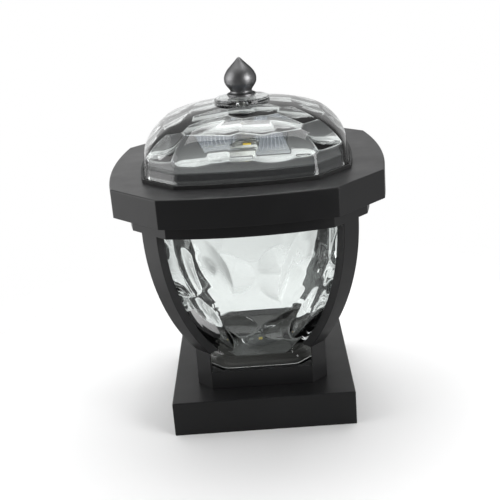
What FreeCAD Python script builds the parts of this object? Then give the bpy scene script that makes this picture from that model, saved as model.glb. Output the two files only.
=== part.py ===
"""Deck post cap light, built as the separate pieces that it comes apart into.

Millimetres, +Z up, origin at the centre of the base cap's bottom edge, front towards -Y.
Plan shapes are squares with cut corners and bowed sides. Each is given by
    flat   distance from the axis to the two corners of a side,
    leg    how far the cut corner runs along each side,
    bow    radius of the bowed side.
"""
import FreeCAD, Part
import math
import os
import re

import Sketcher

Vector = FreeCAD.Vector

# ---------------------------------------------------------------- driving dimensions

SIZES = (
    # base cap, which drops over a square timber post
    ("cap_side", 150.0), ("cap_height", 29.3), ("cap_wall", 3.5), ("cap_plate", 3.5),
    ("cap_round", 1.0), ("side_hole_radius", 2.25), ("side_hole_spread", 90.0),
    ("side_hole_height", 12.0),
    # neck ring and its four corner posts
    ("neck_flat", 54.3), ("neck_leg", 12.4), ("neck_wall", 4.0), ("sill_height", 15.5),
    ("post_height", 32.7), ("post_depth", 9.4), ("ledge_width", 3.0), ("ledge_height", 3.0),
    ("ledge_rise", 13.0),
    # cage: four curved ribs under a collar
    ("collar_bottom", 176.6), ("collar_height", 12.3), ("collar_flat", 90.8),
    ("collar_leg", 27.6), ("collar_bow", 273.0), ("rib_radius", 179.6), ("rib_thickness", 7.0),
    ("rib_tuck", 3.0), ("lead_groove", 2.6), ("collar_gap", 0.6),
    # glass bowl
    ("bowl_gap", 0.4), ("bowl_inset", 4.0), ("bowl_wall", 4.5), ("bowl_bow", 390.0),
    ("bowl_floor", 7.0), ("foot_flat", 49.4), ("foot_leg", 19.2), ("foot_height", 9.0),
    ("foot_recess_radius", 17.0), ("foot_recess", 2.2),
    # lower light under the bowl
    ("led_plate_thickness", 1.0), ("foot_gasket_thickness", 1.5), ("foot_gasket_width", 5.0),
    ("lower_board_radius", 12.0), ("lower_screw_reach", 8.4), ("board_thickness", 1.2),
    ("led_side", 3.5), ("led_height", 0.8), ("phosphor_radius", 1.4), ("phosphor_height", 0.3),
    # rim, the widest piece, and the floor that closes it below
    ("rim_flat", 104.1), ("rim_leg", 37.7), ("rim_bow", 353.0), ("rim_height", 22.6),
    ("rim_wall", 4.0), ("rim_plate", 3.0), ("rim_round", 1.2), ("floor_thickness", 2.0),
    ("fit_gap", 0.3), ("boss_radius", 4.5), ("bowl_gasket_thickness", 2.0),
    # dome
    ("dome_flat", 78.6), ("dome_leg", 24.8), ("dome_bow", 286.0), ("dome_wall", 5.0),
    ("dome_band", 9.1), ("dome_draft", 1.4), ("dome_rise", 38.0), ("dome_squareness", 2.2),
    ("pad_radius", 22.2), ("pad_height", 2.1), ("facet_depth", 0.6),
    # gasket under the dome
    ("gasket_floor", 1.4), ("gasket_lip", 1.6), ("gasket_lip_height", 1.4),
    ("gasket_gap", 0.05),
    # solar tray, panel and the light in its middle
    ("opening_inset", 3.4), ("tray_flange", 6.0), ("tray_flange_thickness", 2.0),
    ("tray_wall", 2.0), ("deck_gap", 1.0), ("deck_height", 10.0), ("deck_round", 1.0),
    ("panel_side", 74.0), ("panel_recess", 2.0), ("panel_thickness", 1.6),
    ("cell_width", 30.0), ("cell_depth", 70.0), ("cell_thickness", 0.4), ("cell_split", 10.0),
    ("busbar_width", 1.4), ("busbar_thickness", 0.15), ("lens_radius", 9.2),
    ("lens_height", 16.0), ("lens_wall", 1.6), ("lens_cavity", 4.0),
    # finial on the dome
    ("finial_height", 30.0), ("finial_radius", 13.0), ("finial_waist_radius", 8.5),
    ("finial_flange_radius", 11.5), ("finial_flange", 1.3), ("stud_radius", 3.0),
    ("stud_gap", 0.3), ("washer_thickness", 1.6), ("washer_radius", 10.6),
    ("nut_thickness", 5.0), ("nut_across_flats", 10.0), ("lock_washer_thickness", 1.0),
    ("lock_washer_radius", 7.0),
    # battery box in the neck
    ("box_width", 82.0), ("box_depth", 58.0), ("box_wall", 1.6), ("box_sink", 1.0),
    ("box_flange", 5.0), ("box_flange_thickness", 2.0), ("box_roof", 1.1),
    ("cover_gap", 0.2), ("cover_thickness", 1.6), ("boss_side", 5.0),
    ("cell_radius", 7.1), ("cell_length", 49.2), ("cell_nub_radius", 2.6), ("cell_nub", 1.0),
    ("cell_side", 12.0), ("contact_thickness", 0.4), ("contact_width", 10.0),
    ("contact_height", 9.0), ("contact_spring", 3.4), ("partition_width", 16.0),
    ("control_margin", 8.0), ("control_depth", 22.0), ("control_rise", 7.2),
    ("control_thickness", 1.6), ("chip_width", 6.0), ("chip_height", 1.6),
    ("component_depth", 5.0), ("coil_radius", 3.0), ("coil_height", 4.5),
    ("terminal_width", 8.0), ("terminal_height", 5.0),
    # door under the cell, on two hinges
    ("door_width", 51.4), ("door_depth", 16.4), ("door_gap", 0.3), ("knuckle_radius", 1.3),
    ("hinge_side", 19.3), ("knuckle_length", 4.8), ("lug_length", 4.0), ("hinge_offset", 1.6),
    ("pin_radius", 0.6), ("running_gap", 0.06), ("tongue_height", 3.0), ("tongue_width", 8.0),
    ("tongue_thickness", 1.2), ("tongue_inset", 0.8),
    # slide switch
    ("knob_length", 3.5), ("knob_width", 3.4), ("knob_drop", 0.1), ("switch_travel", 3.2),
    ("switch_length", 12.0), ("switch_width", 6.0), ("switch_depth", 4.6),
    ("switch_side", 14.0),
    # screws: head radius, head height and shank radius of each kind
    ("large_head_radius", 3.6), ("large_head", 2.6), ("large_shank", 2.0),
    ("frame_head_radius", 2.9), ("frame_head", 2.1), ("frame_shank", 1.45),
    ("frame_screw_reach", 64.5), ("frame_grip", 5.0), ("small_head_radius", 2.0),
    ("small_head", 1.3), ("small_shank", 1.0), ("hole_gap", 0.2), ("blind_grip", 2.4),
    # lead from the solar panel down the rear left rib
    ("lead_radius", 0.9), ("lead_depth", 1.3), ("lead_bend", 5.0), ("lead_sweep", 8.0),
    ("lead_low", 36.5), ("lead_high", 9.0), ("lead_start_reach", 33.0), ("lead_offset", 4.0),
    ("lead_end_reach", 62.0), ("lead_notch_radius", 2.8),
)
ALIASES = {alias for alias, _ in SIZES}

doc = FreeCAD.newDocument("deck_post_cap_light")
sheet = doc.addObject("Spreadsheet::Sheet", "Sizes")
for row, (alias, value) in enumerate(SIZES, 1):
    sheet.set(f"A{row}", alias)
    sheet.set(f"B{row}", str(value))
    sheet.setAlias(f"B{row}", alias)
doc.recompute()

# heights and reaches that follow from the sizes, as formulas
PLATE_TOP = "cap_height"
SOCKET_CEILING = "(cap_height - cap_plate)"
SILL = "(cap_height + sill_height)"
POST_TOP = "(cap_height + post_height)"
LEDGE_TOP = "(cap_height + ledge_rise)"
LED_PLATE_TOP = f"({LEDGE_TOP} + led_plate_thickness)"
FOOT_BOTTOM = f"({LED_PLATE_TOP} + foot_gasket_thickness)"
FOOT_TOP = f"({FOOT_BOTTOM} + foot_height)"
COLLAR_TOP = "(collar_bottom + collar_height)"
BOWL_TOP = f"({COLLAR_TOP} - bowl_gasket_thickness)"
FLOOR_TOP = f"({COLLAR_TOP} + floor_thickness)"
RIM_TOP = f"({COLLAR_TOP} + rim_height)"
RIM_CEILING = f"({RIM_TOP} - rim_plate)"
DOME_FOOT = f"({RIM_TOP} + gasket_floor)"
DOME_SHOULDER = f"({DOME_FOOT} + dome_band)"
DOME_CROWN = f"({DOME_SHOULDER} + dome_rise)"
DOME_CEILING = f"({DOME_CROWN} - dome_wall)"
PAD_TOP = f"({DOME_CROWN} + pad_height)"
FINIAL_FOOT = f"({PAD_TOP} + washer_thickness)"
DECK_TOP = f"({RIM_TOP} + deck_height)"
PANEL_SEAT = f"({DECK_TOP} - panel_recess)"
CELLS_SEAT = f"({PANEL_SEAT} + panel_thickness)"
POST_INNER = "((2 * neck_flat - neck_leg) / sqrt(2) - post_depth)"
BOX_BOTTOM = f"({SOCKET_CEILING} - box_sink)"
COVER_TOP = f"({BOX_BOTTOM} + cover_thickness)"
CELL_AXIS = f"({COVER_TOP} + cover_gap + cell_radius)"
BOX_ROOF = f"({COVER_TOP} + 2 * cover_gap + 2 * cell_radius)"
BOX_TOP = f"({BOX_ROOF} + box_roof)"
BOARD_BOTTOM = f"({BOX_BOTTOM} + control_rise)"
BOARD_TOP = f"({BOARD_BOTTOM} + control_thickness)"
HINGE_Y = "(-cell_side - door_depth / 2 - hinge_offset)"
HINGE_Z = BOX_BOTTOM        # level with the door's outer face, so that the door swings clear
CONTROL_WIDTH = "(box_width - 2 * control_margin)"
# the ribs' arcs all share one centre, level with the collar's bottom
RIB_REACH = "((2 * collar_flat - collar_leg) / sqrt(2))"
ARC_CENTRE = f"({RIB_REACH} - rib_radius)"
RIB_WIDTH = "(neck_leg * sqrt(2))"
# the lead runs up the neck's rear left corner and then in that rib's groove
LEAD_TURN = 135
LEAD_ARC = "(rib_radius - rib_thickness + lead_depth)"
LEAD_LOW_REACH = f"(({POST_INNER} + (2 * foot_flat - foot_leg) / sqrt(2)) / 2)"
LEAD_HIGH_REACH = f"({ARC_CENTRE} + {LEAD_ARC})"

# ---------------------------------------------------------------- helpers

def bound(formula):
    """The formula with every size read from the sheet."""
    return re.sub(r"[a-z_][a-z0-9_]*",
                  lambda word: f"Sizes.{word[0]}" if word[0] in ALIASES else word[0], formula)


def number(formula):
    """The formula's value now."""
    result = sheet.evalExpression(bound(formula))
    return float(getattr(result, "Value", result))


def arc_reach(offset, height):
    """Reach of a rib arc moved inwards by offset, along the diagonal at a height."""
    return f"({ARC_CENTRE} + sqrt((rib_radius - {offset})^2 - ({height} - collar_bottom)^2))"


def inner_leg(flat, reach):
    """Leg whose cut corner stands at a reach from the axis."""
    return f"(2 * {flat} - sqrt(2) * {reach})"


def inset(outline, distance):
    """Flat, leg and bow of an outline moved inwards all round."""
    flat, leg, bow = outline
    return (f"({flat} - {distance})", f"({leg} - (2 - sqrt(2)) * {distance})", f"({bow} - {distance})")


def bow_rise(outline):
    """How far the middle of a side stands out past its corners."""
    flat, leg, bow = outline
    return f"({bow} - sqrt({bow}^2 - ({flat} - {leg})^2))"


def bowl_outline(height, wall="0"):
    """The bowl's outline at a height: flats inside the ribs' edges, cut corners behind the ribs."""
    flat = f"(({arc_reach(f'(bowl_inset + {wall})', height)} + neck_leg / sqrt(2)) / sqrt(2))"
    corner = arc_reach(f"(rib_thickness + bowl_gap + {wall})", height)
    return flat, inner_leg(flat, corner), f"(bowl_bow - {wall})"


RIM = ("rim_flat", "rim_leg", "rim_bow")
COLLAR = ("collar_flat", "collar_leg", "collar_bow")
DOME = ("dome_flat", "dome_leg", "dome_bow")
OPENING = inset(DOME, "opening_inset")


def new_body(label):
    body = doc.addObject("PartDesign::Body", label)
    body.Label = label
    return body


def new_sketch(body, height="0", plane="XY_Plane", turn=0):
    """Sketch on one of the body's own planes, moved along its normal, upright ones turned about Z."""
    sketch = body.newObject("Sketcher::SketchObject", body.Name + "_sketch")
    support = next(item for item in body.Origin.OriginFeatures if item.Role == plane)
    sketch.AttachmentSupport = [(support, "")]
    sketch.MapMode = "FlatFace"
    if turn:
        sketch.AttachmentOffset = FreeCAD.Placement(Vector(), FreeCAD.Rotation(Vector(0, 1, 0), turn))
        sketch.setExpression("AttachmentOffset.Base.x", bound(f"{height} * sin({turn} deg)"))
    if height != "0":
        sketch.setExpression("AttachmentOffset.Base.z", bound(f"{height} * cos({turn} deg)"))
    return sketch


def dimension(sketch, kind, references, formula):
    """Constraint whose value follows a formula."""
    index = sketch.addConstraint(Sketcher.Constraint(kind, *references, number(formula)))
    sketch.setExpression(f"Constraints[{index}]", bound(formula))


def pin_point(sketch, geometry, end, x, y):
    """Fix a point of the sketch at x, y."""
    dimension(sketch, "DistanceX", (-1, 1, geometry, end), x)
    dimension(sketch, "DistanceY", (-1, 1, geometry, end), y)


def join(sketch, links):
    for first, first_end, second, second_end in links:
        sketch.addConstraint(Sketcher.Constraint("Coincident", first, first_end, second, second_end))


def cut_square(sketch, flat, leg, bow=None):
    """Square with cut corners, its sides bowed or straight."""
    far, near = number(flat), number(f"{flat} - {leg}")
    corners = [Vector(far, near), Vector(near, far)]
    for _ in range(3):
        corners += [Vector(-point.y, point.x) for point in corners[-2:]]
    cuts = [sketch.addGeometry(Part.LineSegment(corners[2 * side], corners[2 * side + 1]))
            for side in range(4)]
    sides = []
    for side in range(4):
        start, end = corners[2 * side + 1], corners[(2 * side + 2) % 8]
        if bow is None:
            sides.append(sketch.addGeometry(Part.LineSegment(start, end)))
            continue
        rise = number(bow) - math.sqrt(number(bow) ** 2 - near ** 2)
        middle = (start + end) * 0.5
        middle = middle * ((far + rise) / middle.Length)
        sides.append(sketch.addGeometry(Part.Arc(start, middle, end)))
    join(sketch, [(cuts[side], 2, sides[side], 1) for side in range(4)])
    join(sketch, [(sides[side], 2, cuts[(side + 1) % 4], 1) for side in range(4)])
    for first, first_end, second, second_end, mirror in (
            (0, 2, 1, 1, -2), (0, 1, 1, 2, -2), (1, 2, 2, 1, -1), (1, 1, 2, 2, -1),
            (0, 2, 3, 1, -1), (0, 1, 3, 2, -1)):
        sketch.addConstraint(Sketcher.Constraint(
            "Symmetric", cuts[first], first_end, cuts[second], second_end, mirror))
    pin_point(sketch, cuts[0], 1, flat, f"{flat} - {leg}")
    pin_point(sketch, cuts[0], 2, f"{flat} - {leg}", flat)
    if bow is not None:
        dimension(sketch, "Radius", (sides[0],), bow)
        for side in sides[1:]:
            sketch.addConstraint(Sketcher.Constraint("Equal", sides[0], side))


def rectangle(sketch, width, depth, x="0", y="0"):
    """Rectangle about x, y."""
    low = (f"{x} - {width} / 2", f"{y} - {depth} / 2")
    high = (f"{x} + {width} / 2", f"{y} + {depth} / 2")
    left, bottom = number(low[0]), number(low[1])
    right, top = number(high[0]), number(high[1])
    points = [Vector(left, bottom), Vector(right, bottom), Vector(right, top), Vector(left, top)]
    lines = [sketch.addGeometry(Part.LineSegment(points[side], points[(side + 1) % 4]))
             for side in range(4)]
    join(sketch, [(lines[side], 2, lines[(side + 1) % 4], 1) for side in range(4)])
    for side, level in enumerate(("Horizontal", "Vertical", "Horizontal", "Vertical")):
        sketch.addConstraint(Sketcher.Constraint(level, lines[side]))
    pin_point(sketch, lines[0], 1, *low)
    pin_point(sketch, lines[2], 1, *high)


def circle(sketch, radius, x="0", y="0"):
    geometry = sketch.addGeometry(
        Part.Circle(Vector(number(x), number(y)), Vector(0, 0, 1), number(radius)))
    dimension(sketch, "Radius", (geometry,), radius)
    pin_point(sketch, geometry, 3, x, y)


def polygon(sketch, points):
    """Closed outline through points given as pairs of formulas."""
    corners = [Vector(number(x), number(y)) for x, y in points]
    count = len(corners)
    lines = [sketch.addGeometry(Part.LineSegment(corners[side], corners[(side + 1) % count]))
             for side in range(count)]
    join(sketch, [(lines[side], 2, lines[(side + 1) % count], 1) for side in range(count)])
    for line, (x, y) in zip(lines, points):
        pin_point(sketch, line, 1, x, y)


def arc_band(sketch, inner, outer, low, high):
    """Closed band between two arcs about the ribs' centre, cut level at two heights."""
    centre = Vector(number(ARC_CENTRE), number("collar_bottom"))
    bottom, top = number(low), number(high)

    def on_arc(radius, level):
        return centre + Vector(math.sqrt(number(radius) ** 2 - (level - centre.y) ** 2), level - centre.y)

    arcs = []
    for radius in (outer, inner):
        turns = [math.asin((level - centre.y) / number(radius)) for level in (bottom, top)]
        round_arc = Part.Circle(centre, Vector(0, 0, 1), number(radius))
        arcs.append(sketch.addGeometry(Part.ArcOfCircle(round_arc, *turns)))
    lid = sketch.addGeometry(Part.LineSegment(on_arc(outer, top), on_arc(inner, top)))
    base = sketch.addGeometry(Part.LineSegment(on_arc(inner, bottom), on_arc(outer, bottom)))
    join(sketch, [(arcs[0], 2, lid, 1), (lid, 2, arcs[1], 2), (arcs[1], 1, base, 1), (base, 2, arcs[0], 1)])
    pin_point(sketch, arcs[0], 3, ARC_CENTRE, "collar_bottom")
    sketch.addConstraint(Sketcher.Constraint("Coincident", arcs[0], 3, arcs[1], 3))
    dimension(sketch, "Radius", (arcs[0],), outer)
    dimension(sketch, "Radius", (arcs[1],), inner)
    for line, level in ((lid, high), (base, low)):
        sketch.addConstraint(Sketcher.Constraint("Horizontal", line))
        dimension(sketch, "DistanceY", (-1, 1, line, 1), level)


def corners_of(x, y):
    """The four places at plus and minus x, y."""
    return [(f"({sign_x} * {x})", f"({sign_y} * {y})") for sign_x in (-1, 1) for sign_y in (-1, 1)]


def diagonal_places(reach):
    """The four places at a reach along the diagonals."""
    return corners_of(f"{reach} / sqrt(2)", f"{reach} / sqrt(2)")


def side_places(reach):
    """The middles of the four sides at a reach."""
    return [(f"({reach})", "0"), ("0", f"({reach})"), (f"(-{reach})", "0"), ("0", f"(-{reach})")]


def add_feature(body, kind, sketch, length=None, **options):
    feature = body.newObject(f"PartDesign::{kind}", f"{body.Name}_{kind}")
    feature.Profile = sketch
    for option, value in options.items():
        setattr(feature, option, value)
    if length is not None:
        feature.setExpression("Length", bound(length))
    sketch.Visibility = False
    return feature


def pad(body, sketch, length, **options):
    return add_feature(body, "Pad", sketch, length, **options)


def pocket(body, sketch, length=None, **options):
    """Cut that has to take material away."""
    doc.recompute()
    before = body.Shape.Volume
    if length is None:
        options["Type"] = "ThroughAll"
    feature = add_feature(body, "Pocket", sketch, length, **options)
    doc.recompute()
    if not body.Shape.Volume < before - 1e-6:
        raise RuntimeError(f"{feature.Name} cuts nothing")
    return feature


def loft(body, kind, sketches):
    feature = add_feature(body, kind, sketches[0])
    feature.Sections = sketches[1:]
    return feature


def round_edges(body, radius, chosen):
    """Fillet on the edges for which chosen(edge) holds."""
    doc.recompute()
    base = body.Tip
    names = [f"Edge{index}" for index, edge in enumerate(base.Shape.Edges, 1) if chosen(edge)]
    feature = body.newObject("PartDesign::Fillet", f"{body.Name}_Fillet")
    feature.Base = (base, names)
    feature.setExpression("Radius", bound(radius))


def at_height(height):
    level = number(height)
    return lambda edge: all(abs(vertex.Z - level) < 1e-4 for vertex in edge.Vertexes)


def is_upright(edge):
    return len(edge.Vertexes) == 2 and abs(edge.tangentAt(edge.FirstParameter).z) > 0.999


def shape_part(label, shape):
    """Sub-part made of a ready shape, such as a group of equal screws."""
    part = doc.addObject("Part::Feature", label)
    part.Label = label
    part.Shape = shape
    return part


def group(label, solids):
    return shape_part(label, Part.makeCompound(solids))


def screw_group(label, kind, places, seat, length, upwards=True):
    """Equal pan-head screws, each head's inner face at the seat height."""
    head, height, shank = (number(f"{kind}_{name}") for name in ("head_radius", "head", "shank"))
    way = Vector(0, 0, 1 if upwards else -1)
    screws = []
    for x, y in places:
        base = Vector(number(x), number(y), number(seat))
        body = Part.makeCylinder(shank, number(length), base, way)
        screws.append(body.fuse(Part.makeCylinder(head, height, base, -way)).removeSplitter())
    return group(label, screws)


def holes(body, radius, places, height, length=None, upwards=True):
    sketch = new_sketch(body, height)
    for x, y in places:
        circle(sketch, radius, x, y)
    pocket(body, sketch, length, Reversed=upwards)


# ---------------------------------------------------------------- base cap and neck

FRAME_PLACES = diagonal_places("frame_screw_reach")
BOX_PLACES = corners_of("(box_width / 2 + box_flange / 2)", "(box_depth / 2 + box_flange / 2)")


def lead_place(reach):
    """Where the lead stands in plan, at a reach along its diagonal and beside the frame screw."""
    return f"((lead_offset - {reach}) / sqrt(2))", f"((lead_offset + {reach}) / sqrt(2))"


def make_base_cap():
    """Square cap, open below over the post, with a window for the battery box."""
    body = new_body("base_cap")
    outline = new_sketch(body)
    rectangle(outline, "cap_side", "cap_side")
    pad(body, outline, "cap_height")
    top = at_height("cap_height")
    round_edges(body, "cap_round", lambda edge: top(edge) or is_upright(edge))
    socket = new_sketch(body)
    rectangle(socket, "(cap_side - 2 * cap_wall)", "(cap_side - 2 * cap_wall)")
    pocket(body, socket, SOCKET_CEILING, Reversed=True)
    window = new_sketch(body, PLATE_TOP)
    rectangle(window, "(box_width + 2 * fit_gap)", "(box_depth + 2 * fit_gap)")
    pocket(body, window)
    holes(body, "(frame_shank + hole_gap)", FRAME_PLACES, SOCKET_CEILING)
    holes(body, "(frame_head_radius + hole_gap)", FRAME_PLACES, SOCKET_CEILING, "frame_head")
    holes(body, "small_shank", BOX_PLACES, PLATE_TOP, "blind_grip", upwards=False)
    side_holes = new_sketch(body, plane="YZ_Plane")
    for y in ("(side_hole_spread / 2)", "(-side_hole_spread / 2)"):
        circle(side_holes, "side_hole_radius", y, "side_hole_height")
    pocket(body, side_holes, Midplane=True)
    return body


def make_neck_ring():
    """Octagonal neck whose corners carry on upwards as four posts under the ribs."""
    body = new_body("neck_ring")
    outline = new_sketch(body, PLATE_TOP)
    cut_square(outline, "neck_flat", "neck_leg")
    pad(body, outline, "post_height")
    inner_flat = "(neck_flat - neck_wall)"
    upper = new_sketch(body, POST_TOP)
    cut_square(upper, inner_flat, inner_leg(inner_flat, POST_INNER))
    pocket(body, upper, "(post_height - ledge_rise)")
    lower = new_sketch(body, PLATE_TOP)
    cut_square(lower, inner_flat, inner_leg(inner_flat, POST_INNER))
    pocket(body, lower, "(ledge_rise - ledge_height)", Reversed=True)
    ledge_flat = "(neck_flat - neck_wall - ledge_width)"
    through = new_sketch(body, POST_TOP)
    cut_square(through, ledge_flat, inner_leg(ledge_flat, f"({POST_INNER} - ledge_width / 2)"))
    pocket(body, through)
    for plane in ("XZ_Plane", "YZ_Plane"):
        window = new_sketch(body, plane=plane)
        rectangle(window, "(2 * (neck_flat - neck_leg))", "post_height", "0",
                  f"({SILL} + post_height / 2)")
        pocket(body, window, Midplane=True)
    holes(body, "(frame_shank + hole_gap)", FRAME_PLACES, PLATE_TOP)
    holes(body, "lead_notch_radius", [lead_place(f"({POST_INNER})")], PLATE_TOP)
    return body


# ---------------------------------------------------------------- cage and bowl

def make_cage_frame():
    """Collar and four curved ribs, cast in one piece."""
    body = new_body("cage_frame")
    collar = new_sketch(body, "collar_bottom")
    cut_square(collar, *COLLAR)
    pad(body, collar, "collar_height")
    bowl_flat, _, bow = bowl_outline(BOWL_TOP)
    inner_flat = f"({bowl_flat} + collar_gap)"
    opening = new_sketch(body, COLLAR_TOP)
    cut_square(opening, inner_flat, inner_leg(inner_flat, f"({RIB_REACH} - rib_thickness)"), bow)
    pocket(body, opening)
    profile = new_sketch(body, plane="XZ_Plane", turn=45)
    arc_band(profile, "(rib_radius - rib_thickness)", "rib_radius", POST_TOP,
             "(collar_bottom + rib_tuck)")
    rib = pad(body, profile, RIB_WIDTH, Midplane=True)
    ribs = body.newObject("PartDesign::PolarPattern", "cage_frame_ribs")
    ribs.Originals = [rib]
    ribs.Axis = (next(item for item in body.Origin.OriginFeatures if item.Role == "Z_Axis"), [""])
    ribs.Angle = 360
    ribs.Occurrences = 4
    body.Tip = ribs
    holes(body, "frame_shank", FRAME_PLACES, POST_TOP, "frame_grip")
    holes(body, "(large_shank + hole_gap)", HEAD_PLACES, "collar_bottom")
    holes(body, "(large_head_radius + hole_gap)", HEAD_PLACES, "collar_bottom",
          "(large_head + hole_gap)")
    groove = new_sketch(body, "lead_offset", plane="XZ_Plane", turn=LEAD_TURN)
    arc_band(groove, "(rib_radius - rib_thickness - lead_depth)",
             "(rib_radius - rib_thickness + lead_groove)", f"({POST_TOP} - rib_tuck)",
             "collar_bottom")
    pocket(body, groove, "(2 * (lead_radius + 2 * fit_gap))", Midplane=True)
    holes(body, "(lead_radius + fit_gap)", [lead_place(LEAD_HIGH_REACH)], COLLAR_TOP,
          "collar_height", upwards=False)
    return body


BOWL_STEPS = (0, 0.12, 0.27, 0.46, 0.7, 1)      # shares of the height, closer where it curves most


def bowl_sections(body, low, wall):
    """Sketches of the bowl's outline, wall thick inside its face, from a height up to its rim."""
    sketches = []
    for share in BOWL_STEPS:
        height = f"({low} + {share} * ({BOWL_TOP} - {low}))"
        sketch = new_sketch(body, height)
        cut_square(sketch, *bowl_outline(height, wall))
        sketches.append(sketch)
    return sketches


def make_glass_bowl():
    """Pressed glass bowl that follows the ribs down to a foot in the neck."""
    body = new_body("glass_bowl")
    foot = new_sketch(body, FOOT_BOTTOM)
    cut_square(foot, "foot_flat", "foot_leg")
    pad(body, foot, "foot_height")
    low = f"({FOOT_TOP} - foot_height / 3)"
    loft(body, "AdditiveLoft", bowl_sections(body, low, "0"))
    floor = f"({FOOT_BOTTOM} + bowl_floor)"
    loft(body, "SubtractiveLoft", bowl_sections(body, floor, "bowl_wall"))
    holes(body, "foot_recess_radius", [("0", "0")], FOOT_BOTTOM, "foot_recess")
    return body


def make_ring(label, outer, inner, height, thickness):
    """Flat ring between two outlines."""
    body = new_body(label)
    outline = new_sketch(body, height)
    cut_square(outline, *outer)
    pad(body, outline, thickness)
    opening = new_sketch(body, f"({height} + {thickness})")
    cut_square(opening, *inner)
    pocket(body, opening)
    return body


def make_bowl_seals():
    foot = ("foot_flat", "foot_leg", None)
    inner = ("(foot_flat - foot_gasket_width)",
             "(foot_leg - (2 - sqrt(2)) * foot_gasket_width)", None)
    make_ring("foot_gasket", foot, inner, LED_PLATE_TOP, "foot_gasket_thickness")
    make_ring("bowl_gasket", bowl_outline(BOWL_TOP), bowl_outline(BOWL_TOP, "bowl_wall"),
              BOWL_TOP, "bowl_gasket_thickness")


# ---------------------------------------------------------------- lower light

LOWER_SCREW_PLACES = [("(-lower_screw_reach)", "0"), ("lower_screw_reach", "0")]


def make_led_plate():
    body = new_body("led_plate")
    flat = "(neck_flat - neck_wall - fit_gap)"
    outline = new_sketch(body, LEDGE_TOP)
    cut_square(outline, flat, inner_leg(flat, f"({POST_INNER} - fit_gap)"))
    pad(body, outline, "led_plate_thickness")
    holes(body, "(lead_radius + fit_gap)", [lead_place(LEAD_LOW_REACH)], LEDGE_TOP)
    holes(body, "small_shank", LOWER_SCREW_PLACES, LEDGE_TOP)
    return body


def make_led_board(label, radius, height, screw_places=()):
    body = new_body(label)
    outline = new_sketch(body, height)
    circle(outline, radius)
    pad(body, outline, "board_thickness")
    if screw_places:
        holes(body, "(small_shank + hole_gap)", screw_places, height)
    return body


def make_led(label, height):
    """Square light-emitting chip with a round phosphor face."""
    body = new_body(label)
    outline = new_sketch(body, height)
    rectangle(outline, "led_side", "led_side")
    pad(body, outline, "led_height")
    face = new_sketch(body, f"({height} + led_height)")
    circle(face, "phosphor_radius")
    pad(body, face, "phosphor_height")
    return body


# ---------------------------------------------------------------- rim, floor and gasket

BOWL_RIM = bowl_outline(BOWL_TOP)
HEAD_PLACES = side_places(f"((collar_flat + {bow_rise(COLLAR)} + {BOWL_RIM[0]} + collar_gap"
                          f" + {bow_rise(BOWL_RIM)}) / 2)")
TRAY_PLACES = diagonal_places(f"((2 * {OPENING[0]} - {OPENING[1]}) / sqrt(2) + tray_flange / 2)")


def make_head_rim():
    """Wide rim with an upright fascia, open below, and an opening under the dome."""
    body = new_body("head_rim")
    outline = new_sketch(body, COLLAR_TOP)
    cut_square(outline, *RIM)
    pad(body, outline, "rim_height")
    top = at_height(RIM_TOP)
    round_edges(body, "rim_round", lambda edge: top(edge) or is_upright(edge))
    hollow = new_sketch(body, COLLAR_TOP)
    cut_square(hollow, *inset(RIM, "rim_wall"))
    pocket(body, hollow, "(rim_height - rim_plate)", Reversed=True)
    opening = new_sketch(body, RIM_TOP)
    cut_square(opening, *OPENING)
    pocket(body, opening)
    bosses = new_sketch(body, FLOOR_TOP)
    for x, y in HEAD_PLACES:
        circle(bosses, "boss_radius", x, y)
    pad(body, bosses, f"({RIM_CEILING} - {FLOOR_TOP} + rim_plate / 2)")
    holes(body, "large_shank", HEAD_PLACES, FLOOR_TOP,
          "(rim_height - floor_thickness - rim_plate)")
    holes(body, "small_shank", TRAY_PLACES, RIM_CEILING, "(rim_plate * 0.8)")
    return body


def make_head_floor():
    """Plate that closes the rim from below and holds the bowl's top gasket down."""
    body = new_body("head_floor")
    outline = new_sketch(body, COLLAR_TOP)
    cut_square(outline, *inset(RIM, "(rim_wall + fit_gap)"))
    pad(body, outline, "floor_thickness")
    holes(body, "(large_shank + hole_gap)", HEAD_PLACES, COLLAR_TOP)
    holes(body, "(lead_radius + fit_gap)", [lead_place(LEAD_HIGH_REACH)], COLLAR_TOP)
    return body


def make_dome_gasket():
    """Channel ring: a floor under the dome's edge and a lip outside it."""
    body = make_ring("dome_gasket", inset(DOME, "(-gasket_lip)"), inset(DOME, "dome_wall"), RIM_TOP,
                     "(gasket_floor + gasket_lip_height)")
    channel = new_sketch(body, f"({DOME_FOOT} + gasket_lip_height)")
    cut_square(channel, *inset(DOME, "(-gasket_gap)"))
    pocket(body, channel, "gasket_lip_height")
    return body


# ---------------------------------------------------------------- solar tray and upper light

def make_solar_tray():
    """Black tray under the rim: its deck stands in the dome, recessed for the panel."""
    body = new_body("solar_tray")
    underside = f"({RIM_CEILING} - tray_flange_thickness)"
    flange = new_sketch(body, underside)
    cut_square(flange, *inset(OPENING, "(-tray_flange)"))
    pad(body, flange, "tray_flange_thickness")
    platform = new_sketch(body, underside)
    cut_square(platform, *inset(OPENING, "fit_gap"))
    pad(body, platform, "(tray_flange_thickness + rim_plate)")
    deck = new_sketch(body, RIM_TOP)
    cut_square(deck, *inset(DOME, "(dome_wall + deck_gap)"))
    pad(body, deck, "deck_height")
    round_edges(body, "deck_round", at_height(DECK_TOP))
    hollow = new_sketch(body, underside)
    cut_square(hollow, *inset(DOME, "(dome_wall + deck_gap + tray_wall)"))
    pocket(body, hollow, f"({PANEL_SEAT} - tray_wall - {underside})", Reversed=True)
    recess = new_sketch(body, DECK_TOP)
    rectangle(recess, "(panel_side + 2 * fit_gap)", "(panel_side + 2 * fit_gap)")
    pocket(body, recess, "panel_recess")
    holes(body, "(small_shank + hole_gap)", TRAY_PLACES, underside)
    return body


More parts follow.
